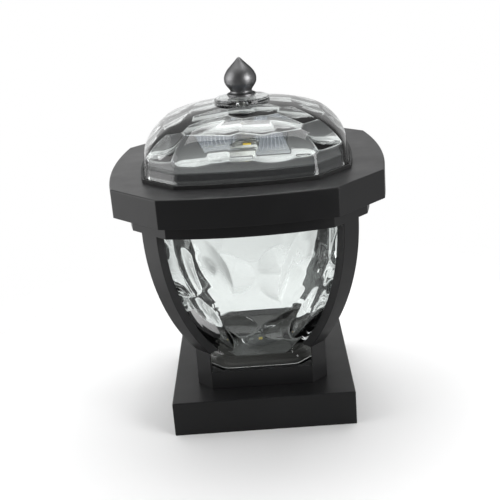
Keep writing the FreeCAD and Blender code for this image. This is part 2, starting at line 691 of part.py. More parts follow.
def make_solar_panel():
    body = new_body("solar_panel")
    outline = new_sketch(body, PANEL_SEAT)
    rectangle(outline, "panel_side", "panel_side")
    circle(outline, "(lens_radius + fit_gap)")
    pad(body, outline, "panel_thickness")
    return body


def make_cells():
    """Two cells beside the lens, and the busbar across the middle of each."""
    width, depth, split = number("cell_width"), number("cell_depth"), number("cell_split")
    seat, thickness = number(CELLS_SEAT), number("cell_thickness")
    clear = number("(lens_radius + 2 * fit_gap)")
    well = Part.makeCylinder(clear, thickness, Vector(0, 0, seat))
    bar_width, bar_thickness = number("busbar_width"), number("busbar_thickness")
    cells, bars = [], []
    for side in (-1, 1):
        inner = side * split / 2
        outer = inner + side * width
        cell = Part.makeBox(width, depth, thickness, Vector(min(inner, outer), -depth / 2, seat))
        cells.append(cell.cut(well))
        start = side * (clear + bar_width)
        bars.append(Part.makeBox(abs(outer - start), bar_width, bar_thickness,
                                 Vector(min(start, outer), -bar_width / 2, seat + thickness)))
    group("solar_cells", cells)
    group("cell_busbars", bars)


def make_light_lens():
    """Clear lens that stands over the upper chip in the middle of the panel."""
    body = new_body("light_lens")
    outline = new_sketch(body, PANEL_SEAT)
    circle(outline, "lens_radius")
    pad(body, outline, "lens_height")
    top = at_height(f"({PANEL_SEAT} + lens_height)")
    round_edges(body, "(lens_radius / 3)", top)
    holes(body, "(lens_radius - lens_wall)", [("0", "0")], PANEL_SEAT, "lens_cavity")
    return body


# ---------------------------------------------------------------- dome

DOME_STEPS = (0, 16, 32, 48, 63, 76)    # degrees round the quarter from shoulder to crown
CROWN_LEG = 0.55        # leg over flat where the dome has become nearly round
CROWN_BOW = 1.1         # bow over flat there
BLEND_POWER = 1.5
# facets pressed into the inside: degrees up the quarter, how many, and turn of the first
FACET_ROWS = ((24, 22, 8.2), (50, 17, 5.3), (68, 10, 18))
FACET_WANDER = 3.0      # degrees by which a facet leaves its even place


def dome_outline(step):
    """Dome outline at a step: the square turns round as it rises."""
    share = f"cos({step} deg)^(2 / dome_squareness)"
    blend = f"(1 - {share})^{BLEND_POWER}"
    flat = f"((dome_flat - dome_draft) * {share})"
    leg = f"({flat} * (dome_leg / dome_flat * (1 - {blend}) + {CROWN_LEG} * {blend}))"
    bow = f"(dome_bow * {share} * (1 - {blend}) + {CROWN_BOW} * {flat} * {blend})"
    return flat, leg, bow


def make_dome_body():
    body = new_body("dome_blank")
    band = []
    for height, outline in ((DOME_FOOT, DOME), (DOME_SHOULDER, dome_outline(0))):
        sketch = new_sketch(body, height)
        cut_square(sketch, *outline)
        band.append(sketch)
    loft(body, "AdditiveLoft", band)
    rising = []
    for step in DOME_STEPS:
        height = f"({DOME_SHOULDER} + dome_rise * sin({step} deg)^(2 / dome_squareness))"
        sketch = new_sketch(body, height)
        cut_square(sketch, *dome_outline(step))
        rising.append(sketch)
    loft(body, "AdditiveLoft", rising)
    top_pad = new_sketch(body, f"({DOME_CROWN} - dome_wall)")
    circle(top_pad, "pad_radius")
    pad(body, top_pad, "(dome_wall + pad_height)")
    return body


def plan_reach(flat, near, bow, angle):
    """Reach of a bowed outline at an angle, in degrees from a side's middle."""
    turn = math.radians((angle + 45) % 90 - 45)
    if abs(turn) > math.atan2(near, flat):
        return (flat + near) / (math.cos(turn) + abs(math.sin(turn)))
    behind = math.sqrt(bow ** 2 - near ** 2) - flat
    return math.sqrt(bow ** 2 - (behind * math.sin(turn)) ** 2) - behind * math.cos(turn)


def inner_point(angle, step):
    """Point of the smooth surface that the facets touch."""
    flat, leg, bow = (number(formula) for formula in inset(DOME, "(dome_draft + dome_wall + facet_depth)"))
    power = 2 / number("dome_squareness")
    share = math.cos(math.radians(step)) ** power
    blend = (1 - share) ** BLEND_POWER
    reach = plan_reach(flat, flat - leg, bow, angle) * (1 - blend) + CROWN_BOW * flat * blend
    reach = share * reach
    rise = number("(dome_rise - dome_wall)") * math.sin(math.radians(step)) ** power
    turn = math.radians(angle)
    return Vector(reach * math.cos(turn), reach * math.sin(turn), number(DOME_SHOULDER) + rise)


def make_dome_cavity():
    """Inside of the dome: an upright band below, then rings of flat facets up to a flat ceiling."""
    outline = doc.addObject("PartDesign::Body", "cavity_blank")
    sketch = new_sketch(outline, DOME_FOOT)
    cut_square(sketch, *inset(DOME, "dome_wall"))
    pad(outline, sketch, f"({DOME_CEILING} - {DOME_FOOT})")
    doc.recompute()
    solid = outline.Shape
    side = 4 * number("dome_flat")
    for step, count, first in FACET_ROWS:
        for index in range(count):
            angle = first + 360 * index / count + FACET_WANDER * math.sin(2.4 * index + step)
            tilt = step + FACET_WANDER * math.cos(1.7 * index + step)
            centre = inner_point(angle, tilt)
            across = inner_point(angle + 0.5, tilt) - inner_point(angle - 0.5, tilt)
            upwards = inner_point(angle, tilt + 0.5) - inner_point(angle, tilt - 0.5)
            outwards = across.cross(upwards).normalize()
            block = Part.makeBox(side, side, side, Vector(-side / 2, -side / 2, 0))
            block.Placement = FreeCAD.Placement(centre, FreeCAD.Rotation(Vector(0, 0, 1), outwards))
            solid = solid.cut(block)
    return shape_part("dome_cavity", solid)


def make_glass_dome():
    """Clear dome: smooth outside, faceted inside, with a hole in its top for the finial's stud."""
    blank = make_dome_body()
    cavity = make_dome_cavity()
    hollow = doc.addObject("Part::Cut", "dome_hollow")
    hollow.Base = blank
    hollow.Tool = cavity
    bore = doc.addObject("Part::Cylinder", "dome_bore")
    bore.setExpression("Radius", bound("(stud_radius + stud_gap)"))
    bore.setExpression("Height", bound("(3 * dome_wall)"))
    bore.setExpression("Placement.Base.z", bound(f"({DOME_CEILING} - dome_wall)"))
    dome = doc.addObject("Part::Cut", "glass_dome")
    dome.Base = hollow
    dome.Tool = bore
    return dome


# ---------------------------------------------------------------- finial

def make_finial():
    """Turned finial: flange, waist, bulb and drawn-out tip, on a stud."""
    height, foot = number("finial_height"), number(FINIAL_FOOT)
    flange, edge = number("finial_flange_radius"), number("finial_flange")
    waist, bulb = number("finial_waist_radius"), number("finial_radius")

    def at(reach, rise):
        return Vector(reach, 0, foot + rise)

    # shares of the height at which the outline is narrow, widest and drawn in
    neck, widest = at(waist, 0.12 * height), at(bulb, 0.437 * height)
    shoulder, point = at(0.685 * bulb, 0.717 * height), at(0.13 * bulb, 0.965 * height)
    tip = at(0, height)
    cove = at(0.45 * flange + 0.55 * waist, (edge + 0.12 * height) / 2 - edge / 4)
    # the tip is a small ball centred on the axis
    drop = tip.z - point.z
    ball = (point.x ** 2 + drop ** 2) / (2 * drop)
    half_turn = math.asin(point.x / ball) / 2
    cheek = at(ball * math.sin(half_turn), height - ball + ball * math.cos(half_turn))
    outline = [
        Part.LineSegment(at(0, 0), at(flange, 0)),
        Part.LineSegment(at(flange, 0), at(flange, edge)),
        Part.Arc(at(flange, edge), cove, neck),
        Part.Arc(neck, at(0.905 * bulb, 0.25 * height), widest),
        Part.Arc(widest, at(0.915 * bulb, 0.59 * height), shoulder),
        Part.Arc(shoulder, at(0.43 * bulb, 0.845 * height), point),
        Part.Arc(point, cheek, tip),
        Part.LineSegment(tip, at(0, 0)),
    ]
    face = Part.Face(Part.Wire([piece.toShape() for piece in outline]))
    turned = face.revolve(Vector(), Vector(0, 0, 1), 360)
    reach = number(f"({FINIAL_FOOT} - {DOME_CEILING} + nut_thickness + 2 * lock_washer_thickness)")
    stud = Part.makeCylinder(number("stud_radius"), reach, Vector(0, 0, foot), Vector(0, 0, -1))
    return shape_part("finial", turned.fuse(stud).Solids[0])


def make_washer(label, radius, height, thickness):
    body = new_body(label)
    outline = new_sketch(body, height)
    circle(outline, radius)
    circle(outline, "(stud_radius + stud_gap)")
    pad(body, outline, thickness)
    return body


def make_finial_nut():
    body = new_body("finial_nut")
    outline = new_sketch(body, f"({DOME_CEILING} - lock_washer_thickness - nut_thickness)")
    points = []
    for corner in range(6):
        angle = 60 * corner
        points.append((f"(nut_across_flats / sqrt(3) * cos({angle} deg))",
                       f"(nut_across_flats / sqrt(3) * sin({angle} deg))"))
    polygon(outline, points)
    circle(outline, "stud_radius")
    pad(body, outline, "nut_thickness")
    return body


# ---------------------------------------------------------------- battery box

COVER_PLACES = corners_of("(box_width / 2 - box_wall - boss_side / 2)",
                          "(box_depth / 2 - box_wall - boss_side / 2)")
BOARD_PLACES = [(x, f"(switch_side + {y})") for x, y in corners_of(
    f"({CONTROL_WIDTH} / 2 - 3 * small_shank)", "(control_depth / 2 - 3 * small_shank)")]
PLUS_END = "(cell_length / 2 + cell_nub)"
MINUS_END = "(-cell_length / 2 - contact_spring)"
# two lugs of the cover stand on each side of a door knuckle, with one pin through the three
LUG_INNER = "(hinge_side - knuckle_length / 2 - door_gap - lug_length)"
LUG_OUTER = "(hinge_side + knuckle_length / 2 + door_gap)"
LUG_STARTS = (LUG_INNER, LUG_OUTER, f"(-{LUG_INNER} - lug_length)", f"(-{LUG_OUTER} - lug_length)")
PIN_LENGTH = "(knuckle_length + 2 * door_gap + 2 * lug_length)"
PIN_STARTS = (LUG_INNER, f"(-{LUG_INNER} - {PIN_LENGTH})")


def make_battery_box():
    """Tub, open below, with a flange that lies on the base cap's plate."""
    body = new_body("battery_box")
    tub = new_sketch(body, BOX_BOTTOM)
    rectangle(tub, "box_width", "box_depth")
    pad(body, tub, f"({BOX_TOP} - {BOX_BOTTOM})")
    flange = new_sketch(body, PLATE_TOP)
    rectangle(flange, "(box_width + 2 * box_flange)", "(box_depth + 2 * box_flange)")
    pad(body, flange, "box_flange_thickness")
    inside = new_sketch(body, BOX_BOTTOM)
    rectangle(inside, "(box_width - 2 * box_wall)", "(box_depth - 2 * box_wall)")
    pocket(body, inside, f"({BOX_ROOF} - {BOX_BOTTOM})", Reversed=True)
    corner_bosses = new_sketch(body, COVER_TOP)
    for x, y in COVER_PLACES:
        rectangle(corner_bosses, "(boss_side + fit_gap)", "(boss_side + fit_gap)", x, y)
    pad(body, corner_bosses, f"({BOX_ROOF} - {COVER_TOP} + box_roof / 2)")
    partitions = new_sketch(body, f"({COVER_TOP} + cover_gap)")
    for start, sign in ((f"({PLUS_END} + contact_thickness + box_wall / 2)", 1),
                        (f"({MINUS_END} - contact_thickness - box_wall / 2)", -1)):
        rectangle(partitions, "box_wall", "partition_width", start, "(-cell_side)")
    pad(body, partitions, f"({BOX_ROOF} - {COVER_TOP} - cover_gap + box_roof / 2)")
    board_bosses = new_sketch(body, BOARD_TOP)
    for x, y in BOARD_PLACES:
        circle(board_bosses, "(2 * small_shank)", x, y)
    pad(body, board_bosses, f"({BOX_ROOF} - {BOARD_TOP} + box_roof / 2)")
    holes(body, "(small_shank + hole_gap)", BOX_PLACES, PLATE_TOP)
    holes(body, "small_shank", COVER_PLACES, COVER_TOP, "(2 * blind_grip)")
    holes(body, "small_shank", BOARD_PLACES, BOARD_TOP, "blind_grip")
    lead_hole = new_sketch(body, plane="YZ_Plane", turn=LEAD_TURN)
    circle(lead_hole, "(lead_radius + hole_gap)", "(-lead_offset)", "lead_low")
    pocket(body, lead_hole, Reversed=True)
    return body


def make_box_cover():
    """Cover of the box, with the door's opening, the hinge lugs and the switch's slot."""
    body = new_body("box_cover")
    plate = new_sketch(body, BOX_BOTTOM)
    rectangle(plate, "(box_width - 2 * box_wall - 2 * cover_gap)",
              "(box_depth - 2 * box_wall - 2 * cover_gap)")
    pad(body, plate, "cover_thickness")
    opening = new_sketch(body, COVER_TOP)
    rectangle(opening, "(door_width + 2 * door_gap)", "(door_depth + 2 * door_gap)", "0",
              "(-cell_side)")
    pocket(body, opening)
    slot = new_sketch(body, COVER_TOP)
    rectangle(slot, "(knob_length + switch_travel + 2 * door_gap)",
              "(knob_width + 2 * door_gap)", "0", "switch_side")
    pocket(body, slot)
    lug_depth = "(hinge_offset + knuckle_radius + door_gap)"
    notches = new_sketch(body, COVER_TOP)
    for side in (-1, 1):
        rectangle(notches, "(knuckle_length + 2 * door_gap)", f"({lug_depth} + door_gap)",
                  f"({side} * hinge_side)", f"({HINGE_Y} + hinge_offset - {lug_depth} / 2)")
    pocket(body, notches)
    for x in LUG_STARTS:
        lug = new_sketch(body, x, plane="YZ_Plane")
        circle(lug, "knuckle_radius", HINGE_Y, HINGE_Z)
        pad(body, lug, "lug_length")
    for x in PIN_STARTS:
        pin_hole = new_sketch(body, x, plane="YZ_Plane")
        circle(pin_hole, "pin_radius", HINGE_Y, HINGE_Z)
        pocket(body, pin_hole, PIN_LENGTH, Reversed=True)
    holes(body, "(small_shank + hole_gap)", COVER_PLACES, BOX_BOTTOM)
    return body


def make_battery_door():
    """Door under the cell, with two knuckles on its hinge edge and a tongue on its free edge."""
    body = new_body("battery_door")
    plate = new_sketch(body, BOX_BOTTOM)
    rectangle(plate, "door_width", "door_depth", "0", "(-cell_side)")
    pad(body, plate, "cover_thickness")
    arms = new_sketch(body, BOX_BOTTOM)
    for side in (-1, 1):
        rectangle(arms, "knuckle_length", "(2 * hinge_offset)", f"({side} * hinge_side)",
                  f"({HINGE_Y} + hinge_offset)")
    pad(body, arms, "cover_thickness")
    for side in (-1, 1):
        start = f"({side} * hinge_side - knuckle_length / 2)"
        knuckle = new_sketch(body, start, plane="YZ_Plane")
        circle(knuckle, "knuckle_radius", HINGE_Y, HINGE_Z)
        pad(body, knuckle, "knuckle_length")
        bore = new_sketch(body, start, plane="YZ_Plane")
        circle(bore, "(pin_radius + running_gap)", HINGE_Y, HINGE_Z)
        pocket(body, bore, "knuckle_length", Reversed=True)
    tongue = new_sketch(body, COVER_TOP)
    rectangle(tongue, "tongue_width", "tongue_thickness", "0",
              "(-cell_side + door_depth / 2 - tongue_inset - tongue_thickness / 2)")
    pad(body, tongue, "tongue_height")
    grip = new_sketch(body, BOX_BOTTOM)
    rectangle(grip, "(2 * tongue_width)", "tongue_thickness", "0", "(-cell_side + door_depth / 4)")
    pocket(body, grip, "(cover_thickness / 3)", Reversed=True)
    return body


def make_hinge_pins():
    pins = []
    for start in PIN_STARTS:
        base = Vector(number(start), number(HINGE_Y), number(HINGE_Z))
        pins.append(Part.makeCylinder(number("pin_radius"), number(PIN_LENGTH), base, Vector(1, 0, 0)))
    group("hinge_pins", pins)


def make_battery_cell():
    body = new_body("battery_cell")
    can = new_sketch(body, plane="YZ_Plane")
    circle(can, "cell_radius", "(-cell_side)", CELL_AXIS)
    pad(body, can, "cell_length", Midplane=True)
    nub = new_sketch(body, "(cell_length / 2)", plane="YZ_Plane")
    circle(nub, "cell_nub_radius", "(-cell_side)", CELL_AXIS)
    pad(body, nub, "cell_nub")
    return body


def make_contacts():
    plus = new_body("plus_contact")
    plate = new_sketch(plus, PLUS_END, plane="YZ_Plane")
    rectangle(plate, "contact_width", "contact_height", "(-cell_side)", CELL_AXIS)
    pad(plus, plate, "contact_thickness")
    minus = new_body("minus_contact")
    leaf = new_sketch(minus, "cell_side", plane="XZ_Plane")
    low, high = f"({CELL_AXIS} - contact_height / 2)", f"({CELL_AXIS} + contact_height / 2)"
    back, front = f"({MINUS_END} - contact_thickness)", "(-cell_length / 2)"
    polygon(leaf, [
        (back, low), (MINUS_END, low), (f"({front})", f"({CELL_AXIS} - contact_height / 8)"),
        (f"({front})", f"({CELL_AXIS} + contact_height / 8)"),
        (f"({front} - 2 * contact_thickness)", f"({CELL_AXIS} + contact_height / 8)"),
        (f"({front} - contact_thickness)", CELL_AXIS),
        (MINUS_END, f"({low} + 2 * contact_thickness)"), (MINUS_END, high), (back, high)])
    pad(minus, leaf, "contact_width", Midplane=True)


def make_control_board():
    body = new_body("control_board")
    outline = new_sketch(body, BOARD_BOTTOM)
    rectangle(outline, CONTROL_WIDTH, "control_depth", "0", "switch_side")
    pad(body, outline, "control_thickness")
    holes(body, "(small_shank + hole_gap)", BOARD_PLACES, BOARD_BOTTOM)
    return body


def make_board_components():
    """Driver chip, coil and wire terminal on the board's upper side."""
    seat, middle, width = number(BOARD_TOP), number("switch_side"), number(CONTROL_WIDTH)
    depth = number("component_depth")
    blocks = []
    for kind, place in (("chip", -width / 5), ("terminal", -width / 2.4)):
        length, height = number(f"{kind}_width"), number(f"{kind}_height")
        corner = Vector(place - length / 2, middle - depth / 2, seat)
        blocks.append(Part.makeBox(length, depth, height, corner))
    coil = Part.makeCylinder(number("coil_radius"), number("coil_height"), Vector(width / 4, middle, seat))
    group("board_components", blocks + [coil])


def make_switch():
    case = new_body("switch_case")
    outline = new_sketch(case, f"({BOARD_BOTTOM} - switch_depth)")
    rectangle(outline, "switch_length", "switch_width", "0", "switch_side")
    pad(case, outline, "switch_depth")
    knob = new_body("switch_knob")
    foot = f"({BOX_BOTTOM} + knob_drop)"
    stem = new_sketch(knob, foot)
    rectangle(stem, "knob_length", "knob_width", "(-switch_travel / 2)", "switch_side")
    pad(knob, stem, f"({BOARD_BOTTOM} - switch_depth - fit_gap - {foot})")
    grooves = new_sketch(knob, foot)
    for share in (-0.25, 0, 0.25):
        rectangle(grooves, "(knob_length / 8)", "(1.2 * knob_width)",
                  f"({share} * knob_length - switch_travel / 2)", "switch_side")
    pocket(knob, grooves, "(knob_length / 8)", Reversed=True)


# ---------------------------------------------------------------- lead

def make_solar_lead():
    """Lead from the tray, down the groove of the rear left rib, into the battery box."""
    bend, sweep = number("lead_bend"), number("lead_sweep")
    low, high = number("lead_low"), number(f"({COLLAR_TOP} + lead_high)")
    start, near, far, end = (number(reach) for reach in (
        "lead_start_reach", LEAD_LOW_REACH, LEAD_HIGH_REACH, "lead_end_reach"))
    centre = Vector(number(ARC_CENTRE), 0, number("collar_bottom"))
    radius = number(LEAD_ARC)
    top = number(f"({PANEL_SEAT} - tray_wall)")
    slack = bend * (1 - math.sqrt(0.5))

    def at(reach, height):
        return Vector(reach, 0, height)

    def on_round(middle, size, first, second):
        """Point of the circle about middle that lies halfway between two of its points."""
        return middle + ((first + second) * 0.5 - middle).normalize() * size

    # the sweep curves out of the upright run and meets the rib's arc from the other side
    drop = math.sqrt((radius + sweep) ** 2 - (near + sweep - centre.x) ** 2)
    sweep_centre = at(near + sweep, centre.z - drop)
    parting, crest = at(near, sweep_centre.z), at(far, centre.z)
    meeting = sweep_centre + (centre - sweep_centre).normalize() * sweep
    path = [
        Part.LineSegment(at(start, low), at(near - bend, low)),
        Part.Arc(at(near - bend, low), at(near - slack, low + slack), at(near, low + bend)),
        Part.LineSegment(at(near, low + bend), parting),
        Part.Arc(parting, on_round(sweep_centre, sweep, parting, meeting), meeting),
        Part.Arc(meeting, on_round(centre, radius, meeting, crest), crest),
        Part.LineSegment(crest, at(far, high - bend)),
        Part.Arc(at(far, high - bend), at(far - slack, high - slack), at(far - bend, high)),
        Part.LineSegment(at(far - bend, high), at(end + bend, high)),
        Part.Arc(at(end + bend, high), at(end + slack, high + slack), at(end, high + bend)),
        Part.LineSegment(at(end, high + bend), at(end, top)),
    ]
    wire = Part.Wire([piece.toShape() for piece in path])
    section = Part.Wire(Part.makeCircle(number("lead_radius"), at(start, low), Vector(1, 0, 0)))
    lead = wire.makePipeShell([section], True, False)
    lead.translate(Vector(0, -number("lead_offset"), 0))
    lead.rotate(Vector(), Vector(0, 0, 1), LEAD_TURN)
    return shape_part("solar_lead", lead)


# ---------------------------------------------------------------- screws

def make_screws():
    screw_group("frame_screws", "frame", FRAME_PLACES, f"({SOCKET_CEILING} + frame_head)",
                f"({POST_TOP} - {SOCKET_CEILING} - frame_head + frame_grip - hole_gap)")
    screw_group("box_screws", "small", BOX_PLACES, f"({PLATE_TOP} + box_flange_thickness)",
                "(box_flange_thickness + blind_grip - hole_gap)", upwards=False)
    screw_group("cover_screws", "small", COVER_PLACES, BOX_BOTTOM,
                "(cover_thickness + 2 * blind_grip - hole_gap)")
    screw_group("board_screws", "small", BOARD_PLACES, BOARD_BOTTOM,
                "(control_thickness + blind_grip - hole_gap)")
    screw_group("lower_led_screws", "small", LOWER_SCREW_PLACES, f"({LED_PLATE_TOP} + board_thickness)",
                "(board_thickness + led_plate_thickness)", upwards=False)
    screw_group("head_screws", "large", HEAD_PLACES, "(collar_bottom + large_head + hole_gap)",
                f"({RIM_CEILING} - collar_bottom - large_head - 2 * hole_gap)")
    screw_group("tray_screws", "small", TRAY_PLACES, f"({RIM_CEILING} - tray_flange_thickness)",
                "(tray_flange_thickness + rim_plate * 0.8 - hole_gap)")


# ---------------------------------------------------------------- build and write

make_base_cap()
make_neck_ring()
make_cage_frame()
make_glass_bowl()
make_bowl_seals()
make_led_plate()
make_led_board("lower_led_board", "lower_board_radius", LED_PLATE_TOP, LOWER_SCREW_PLACES)
make_led("lower_led", f"({LED_PLATE_TOP} + board_thickness)")
make_head_rim()
make_head_floor()
make_dome_gasket()
make_solar_tray()
make_solar_panel()
make_cells()
make_led_board("upper_led_board", "(lens_radius - lens_wall - hole_gap)", PANEL_SEAT)
make_led("upper_led", f"({PANEL_SEAT} + board_thickness)")
make_light_lens()
make_glass_dome()
make_finial()
make_washer("finial_washer", "washer_radius", PAD_TOP, "washer_thickness")
make_washer("lock_washer", "lock_washer_radius", f"({DOME_CEILING} - lock_washer_thickness)",
            "lock_washer_thickness")
make_finial_nut()
make_battery_box()
make_box_cover()
make_battery_door()
make_hinge_pins()
make_battery_cell()
make_contacts()
make_control_board()
make_board_components()
make_switch()
make_solar_lead()
make_screws()
doc.recompute()

SCRATCH = ("dome_blank", "cavity_blank", "dome_cavity", "dome_hollow", "dome_bore")


def is_sub_part(item):
    if item.Label in SCRATCH:
        return False
    return item.isDerivedFrom("PartDesign::Body") or item.TypeId in ("Part::Feature", "Part::Cut")


for item in doc.Objects:
    if {"Invalid", "Error"} & set(item.State):
        raise RuntimeError(f"{item.Label} failed: {item.State}")

sub_parts = [item for item in doc.Objects if is_sub_part(item)]
for part in sub_parts:
    if part.Shape.isNull() or not part.Shape.isValid():
        raise RuntimeError(f"{part.Label} has no valid shape")

os.makedirs("parts", exist_ok=True)
for part in sub_parts:
    part.Shape.exportStep(f"parts/{part.Label}.step")
print(f"{len(sub_parts)} sub-parts written")
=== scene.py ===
"""Looks of a deck post cap light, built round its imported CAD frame.

The pressed glass, the turned and threaded small parts and all finishes are made here.
Lengths in the shape functions are millimetres; they become metres when a mesh is made.
"""
import math

import bmesh
import bpy
import numpy as np
from mathutils import Matrix, Vector


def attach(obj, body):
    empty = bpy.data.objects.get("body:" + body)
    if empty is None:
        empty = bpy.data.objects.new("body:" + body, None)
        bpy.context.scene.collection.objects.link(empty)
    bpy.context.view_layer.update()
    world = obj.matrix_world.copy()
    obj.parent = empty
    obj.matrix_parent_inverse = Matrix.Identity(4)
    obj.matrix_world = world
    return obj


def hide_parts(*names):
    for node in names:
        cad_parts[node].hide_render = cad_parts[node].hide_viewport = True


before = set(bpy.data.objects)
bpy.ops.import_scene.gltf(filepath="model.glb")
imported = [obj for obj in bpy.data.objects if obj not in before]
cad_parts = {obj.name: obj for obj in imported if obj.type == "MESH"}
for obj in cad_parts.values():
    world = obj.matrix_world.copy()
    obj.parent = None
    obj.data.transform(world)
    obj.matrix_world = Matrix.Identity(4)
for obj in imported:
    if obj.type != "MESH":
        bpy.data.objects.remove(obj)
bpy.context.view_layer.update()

bl_info = {
    "name": "Deck Post Cap Light",
    "version": (1, 0, 0),
    "blender": (4, 5, 0),
    "location": "View3D > Sidebar > Post Light",
    "description": "Finishes and glass of a post cap light with a faceted dome",
    "category": "Object",
}

MM = 0.001


# ---- sizes and colours to change

class GlassSettings(bpy.types.PropertyGroup):
    """Sizes and colour of the pressed glass."""

    wall: bpy.props.FloatProperty(
        name="Wall", description="Thickness of the dome's wall", default=5.0 * MM,
        min=3.0 * MM, max=8.0 * MM, unit="LENGTH")
    ridge: bpy.props.FloatProperty(
        name="Ridge", description="Softness of the ridges between facets", default=0.12 * MM,
        min=0.02 * MM, max=1.0 * MM, unit="LENGTH")
    columns: bpy.props.IntProperty(
        name="Columns", description="Mesh columns round each glass", default=720, min=90, max=1200)
    tint: bpy.props.StringProperty(
        name="Tint", description="Hex colour of light that passes the glass", default="#f2f5f4")


class MetalSettings(bpy.types.PropertyGroup):
    """Colours of the painted metal."""

    coat: bpy.props.StringProperty(
        name="Powder coat", description="Hex colour of the frame", default="#1b1b1c")
    finial_coat: bpy.props.StringProperty(
        name="Finial coat", description="Hex colour of the finial", default="#868687")
    roughness: bpy.props.FloatProperty(
        name="Roughness", description="Roughness of the powder coat", default=0.36,
        min=0.05, max=0.9, subtype="FACTOR")


class LightSettings(bpy.types.PropertyGroup):
    """Solar cell and light chip."""

    cell_blue: bpy.props.StringProperty(
        name="Cell", description="Hex colour of the coated silicon", default="#3d4450")
    phosphor: bpy.props.StringProperty(
        name="Phosphor", description="Hex colour of the chips' phosphor", default="#ffe14a")
    finger_pitch: bpy.props.FloatProperty(
        name="Finger pitch", description="Distance between the cell's fingers",
        default=2.0 * MM, min=1.0 * MM, max=4.0 * MM, unit="LENGTH")


def in_mm(length):
    """A length setting in millimetres, free of the last digits that storing it adds."""
    return round(length / MM, 4)


# ---- node materials; texture scales are in repeats to the metre

def linear(hex_colour):
    """Linear RGBA of an sRGB hex colour."""
    parts = [int(hex_colour[place:place + 2], 16) / 255 for place in (1, 3, 5)]
    return tuple(part / 12.92 if part <= 0.04045 else ((part + 0.055) / 1.055) ** 2.4
                 for part in parts) + (1.0,)


def lit(hex_colour, share):
    """Linear RGBA of an sRGB hex colour with its light times a share."""
    return tuple(share * part for part in linear(hex_colour)[:3]) + (1.0,)


def add(tree, kind, links=None, values=None, **settings):
    """Node of a kind with its settings, its socket values and what feeds its sockets.

    A socket is fed by another socket, or by the first output of a node.
    """
    node = tree.nodes.new("ShaderNode" + kind)
    for name, value in settings.items():
        setattr(node, name, value)
    for socket, value in (values or {}).items():
        node.inputs[socket].default_value = value
    for socket, source in (links or {}).items():
        if isinstance(source, bpy.types.Node):
            source = source.outputs[0]
        tree.links.new(source, node.inputs[socket])
    return node


def new_material(name):
    """Material with only an output; returns it with its tree and its object coordinates."""
    material = bpy.data.materials.new(name)
    material.use_nodes = True
    tree = material.node_tree
    tree.nodes.clear()
    add(tree, "OutputMaterial")
    return material, tree, add(tree, "TexCoord").outputs["Object"]


def surfaced(material, shader):
    """Shows a shader node on a material, and returns the material."""
    output = material.node_tree.get_output_node("ALL")
    material.node_tree.links.new(shader.outputs[0], output.inputs["Surface"])
    return material


def ramp_stops(ramp, stops):
    """Sets a colour ramp's stops: pairs of place and linear colour."""
    elements = ramp.color_ramp.elements
    while len(elements) > 1:
        elements.remove(elements[-1])
    for index, (place, colour) in enumerate(stops):
        element = elements[0] if index == 0 else elements.new(place)
        element.position, element.color = place, colour
    return ramp.outputs["Color"]


def powder_coat(name, colour, roughness):
    """Satin powder coat on die-cast aluminium: baked polyester powder, IOR about 1.45.

    It gives soft, slightly broken highlights, an orange peel 1.1 mm across, clouds of 26 mm in
    its gloss and of 80 mm in its tone, and edges that the powder rounds over 0.7 mm.
    """
    material, tree, place = new_material(name)
    peel = add(tree, "TexNoise", {"Vector": place}, {"Scale": 900.0, "Detail": 3.0})
    cloud = add(tree, "TexNoise", {"Vector": place}, {"Scale": 38.0, "Detail": 4.0})
    rough = add(tree, "MapRange", {"Value": cloud},
                {"From Min": 0.3, "From Max": 0.7, "To Min": roughness - 0.04,
                 "To Max": roughness + 0.05})
    edge = add(tree, "Bevel", None, {"Radius": 0.7 * MM}, samples=8)
    bump = add(tree, "Bump", {"Height": peel, "Normal": edge},
               {"Strength": 0.012, "Distance": 0.0002})
    shade = add(tree, "TexNoise", {"Vector": place}, {"Scale": 12.0, "Detail": 2.0})
    tone = ramp_stops(add(tree, "ValToRGB", {"Fac": shade}),
                      [(0.35, linear(colour)), (0.7, lit(colour, 1.16))])
    return surfaced(material, add(tree, "BsdfPrincipled",
                                  {"Base Color": tone, "Roughness": rough, "Normal": bump},
                                  {"IOR": 1.45}))


def lacquered_steel(name, colour, roughness, bare_below):
    """Turned steel, blackened and lacquered: dark metal, with painted shade at its edges, where a
    dark edge tint dims their reflections.

    It is bare below a height in millimetres, where the stud is threaded.
    """
    material, tree, place = new_material(name)
    level = add(tree, "SeparateXYZ", {"Vector": place}).outputs["Z"]
    coated = add(tree, "Math", {0: level}, {1: bare_below * MM}, operation="GREATER_THAN")
    # the lathe tool leaves fine rings, 0.6 mm apart; the lacquer's gloss varies over 8 mm
    rings = add(tree, "TexWave", {"Vector": place}, {"Scale": 520.0, "Distortion": 0.6},
                bands_direction="Z")
    bump = add(tree, "Bump", {"Height": rings.outputs["Fac"]},
               {"Strength": 0.08, "Distance": 0.0001})
    cloud = add(tree, "TexNoise", {"Vector": place}, {"Scale": 120.0, "Detail": 3.0})
    rough = add(tree, "MapRange", {"Value": cloud},
                {"To Min": roughness - 0.05, "To Max": roughness + 0.05})
    # the dark specular tint is painted shade: it dims the reflections at the edges as a dark room
    # behind them would
    lacquer = add(tree, "BsdfPrincipled", {"Roughness": rough, "Normal": bump},
                  {"Base Color": linear(colour), "Metallic": 1.0,
                   "Specular Tint": linear("#3a3a3a")})
    bare = add(tree, "BsdfPrincipled", None,
               {"Base Color": linear("#b9bab6"), "Metallic": 1.0, "Roughness": 0.25})
    return surfaced(material, add(tree, "MixShader", {0: coated, 1: bare, 2: lacquer}))


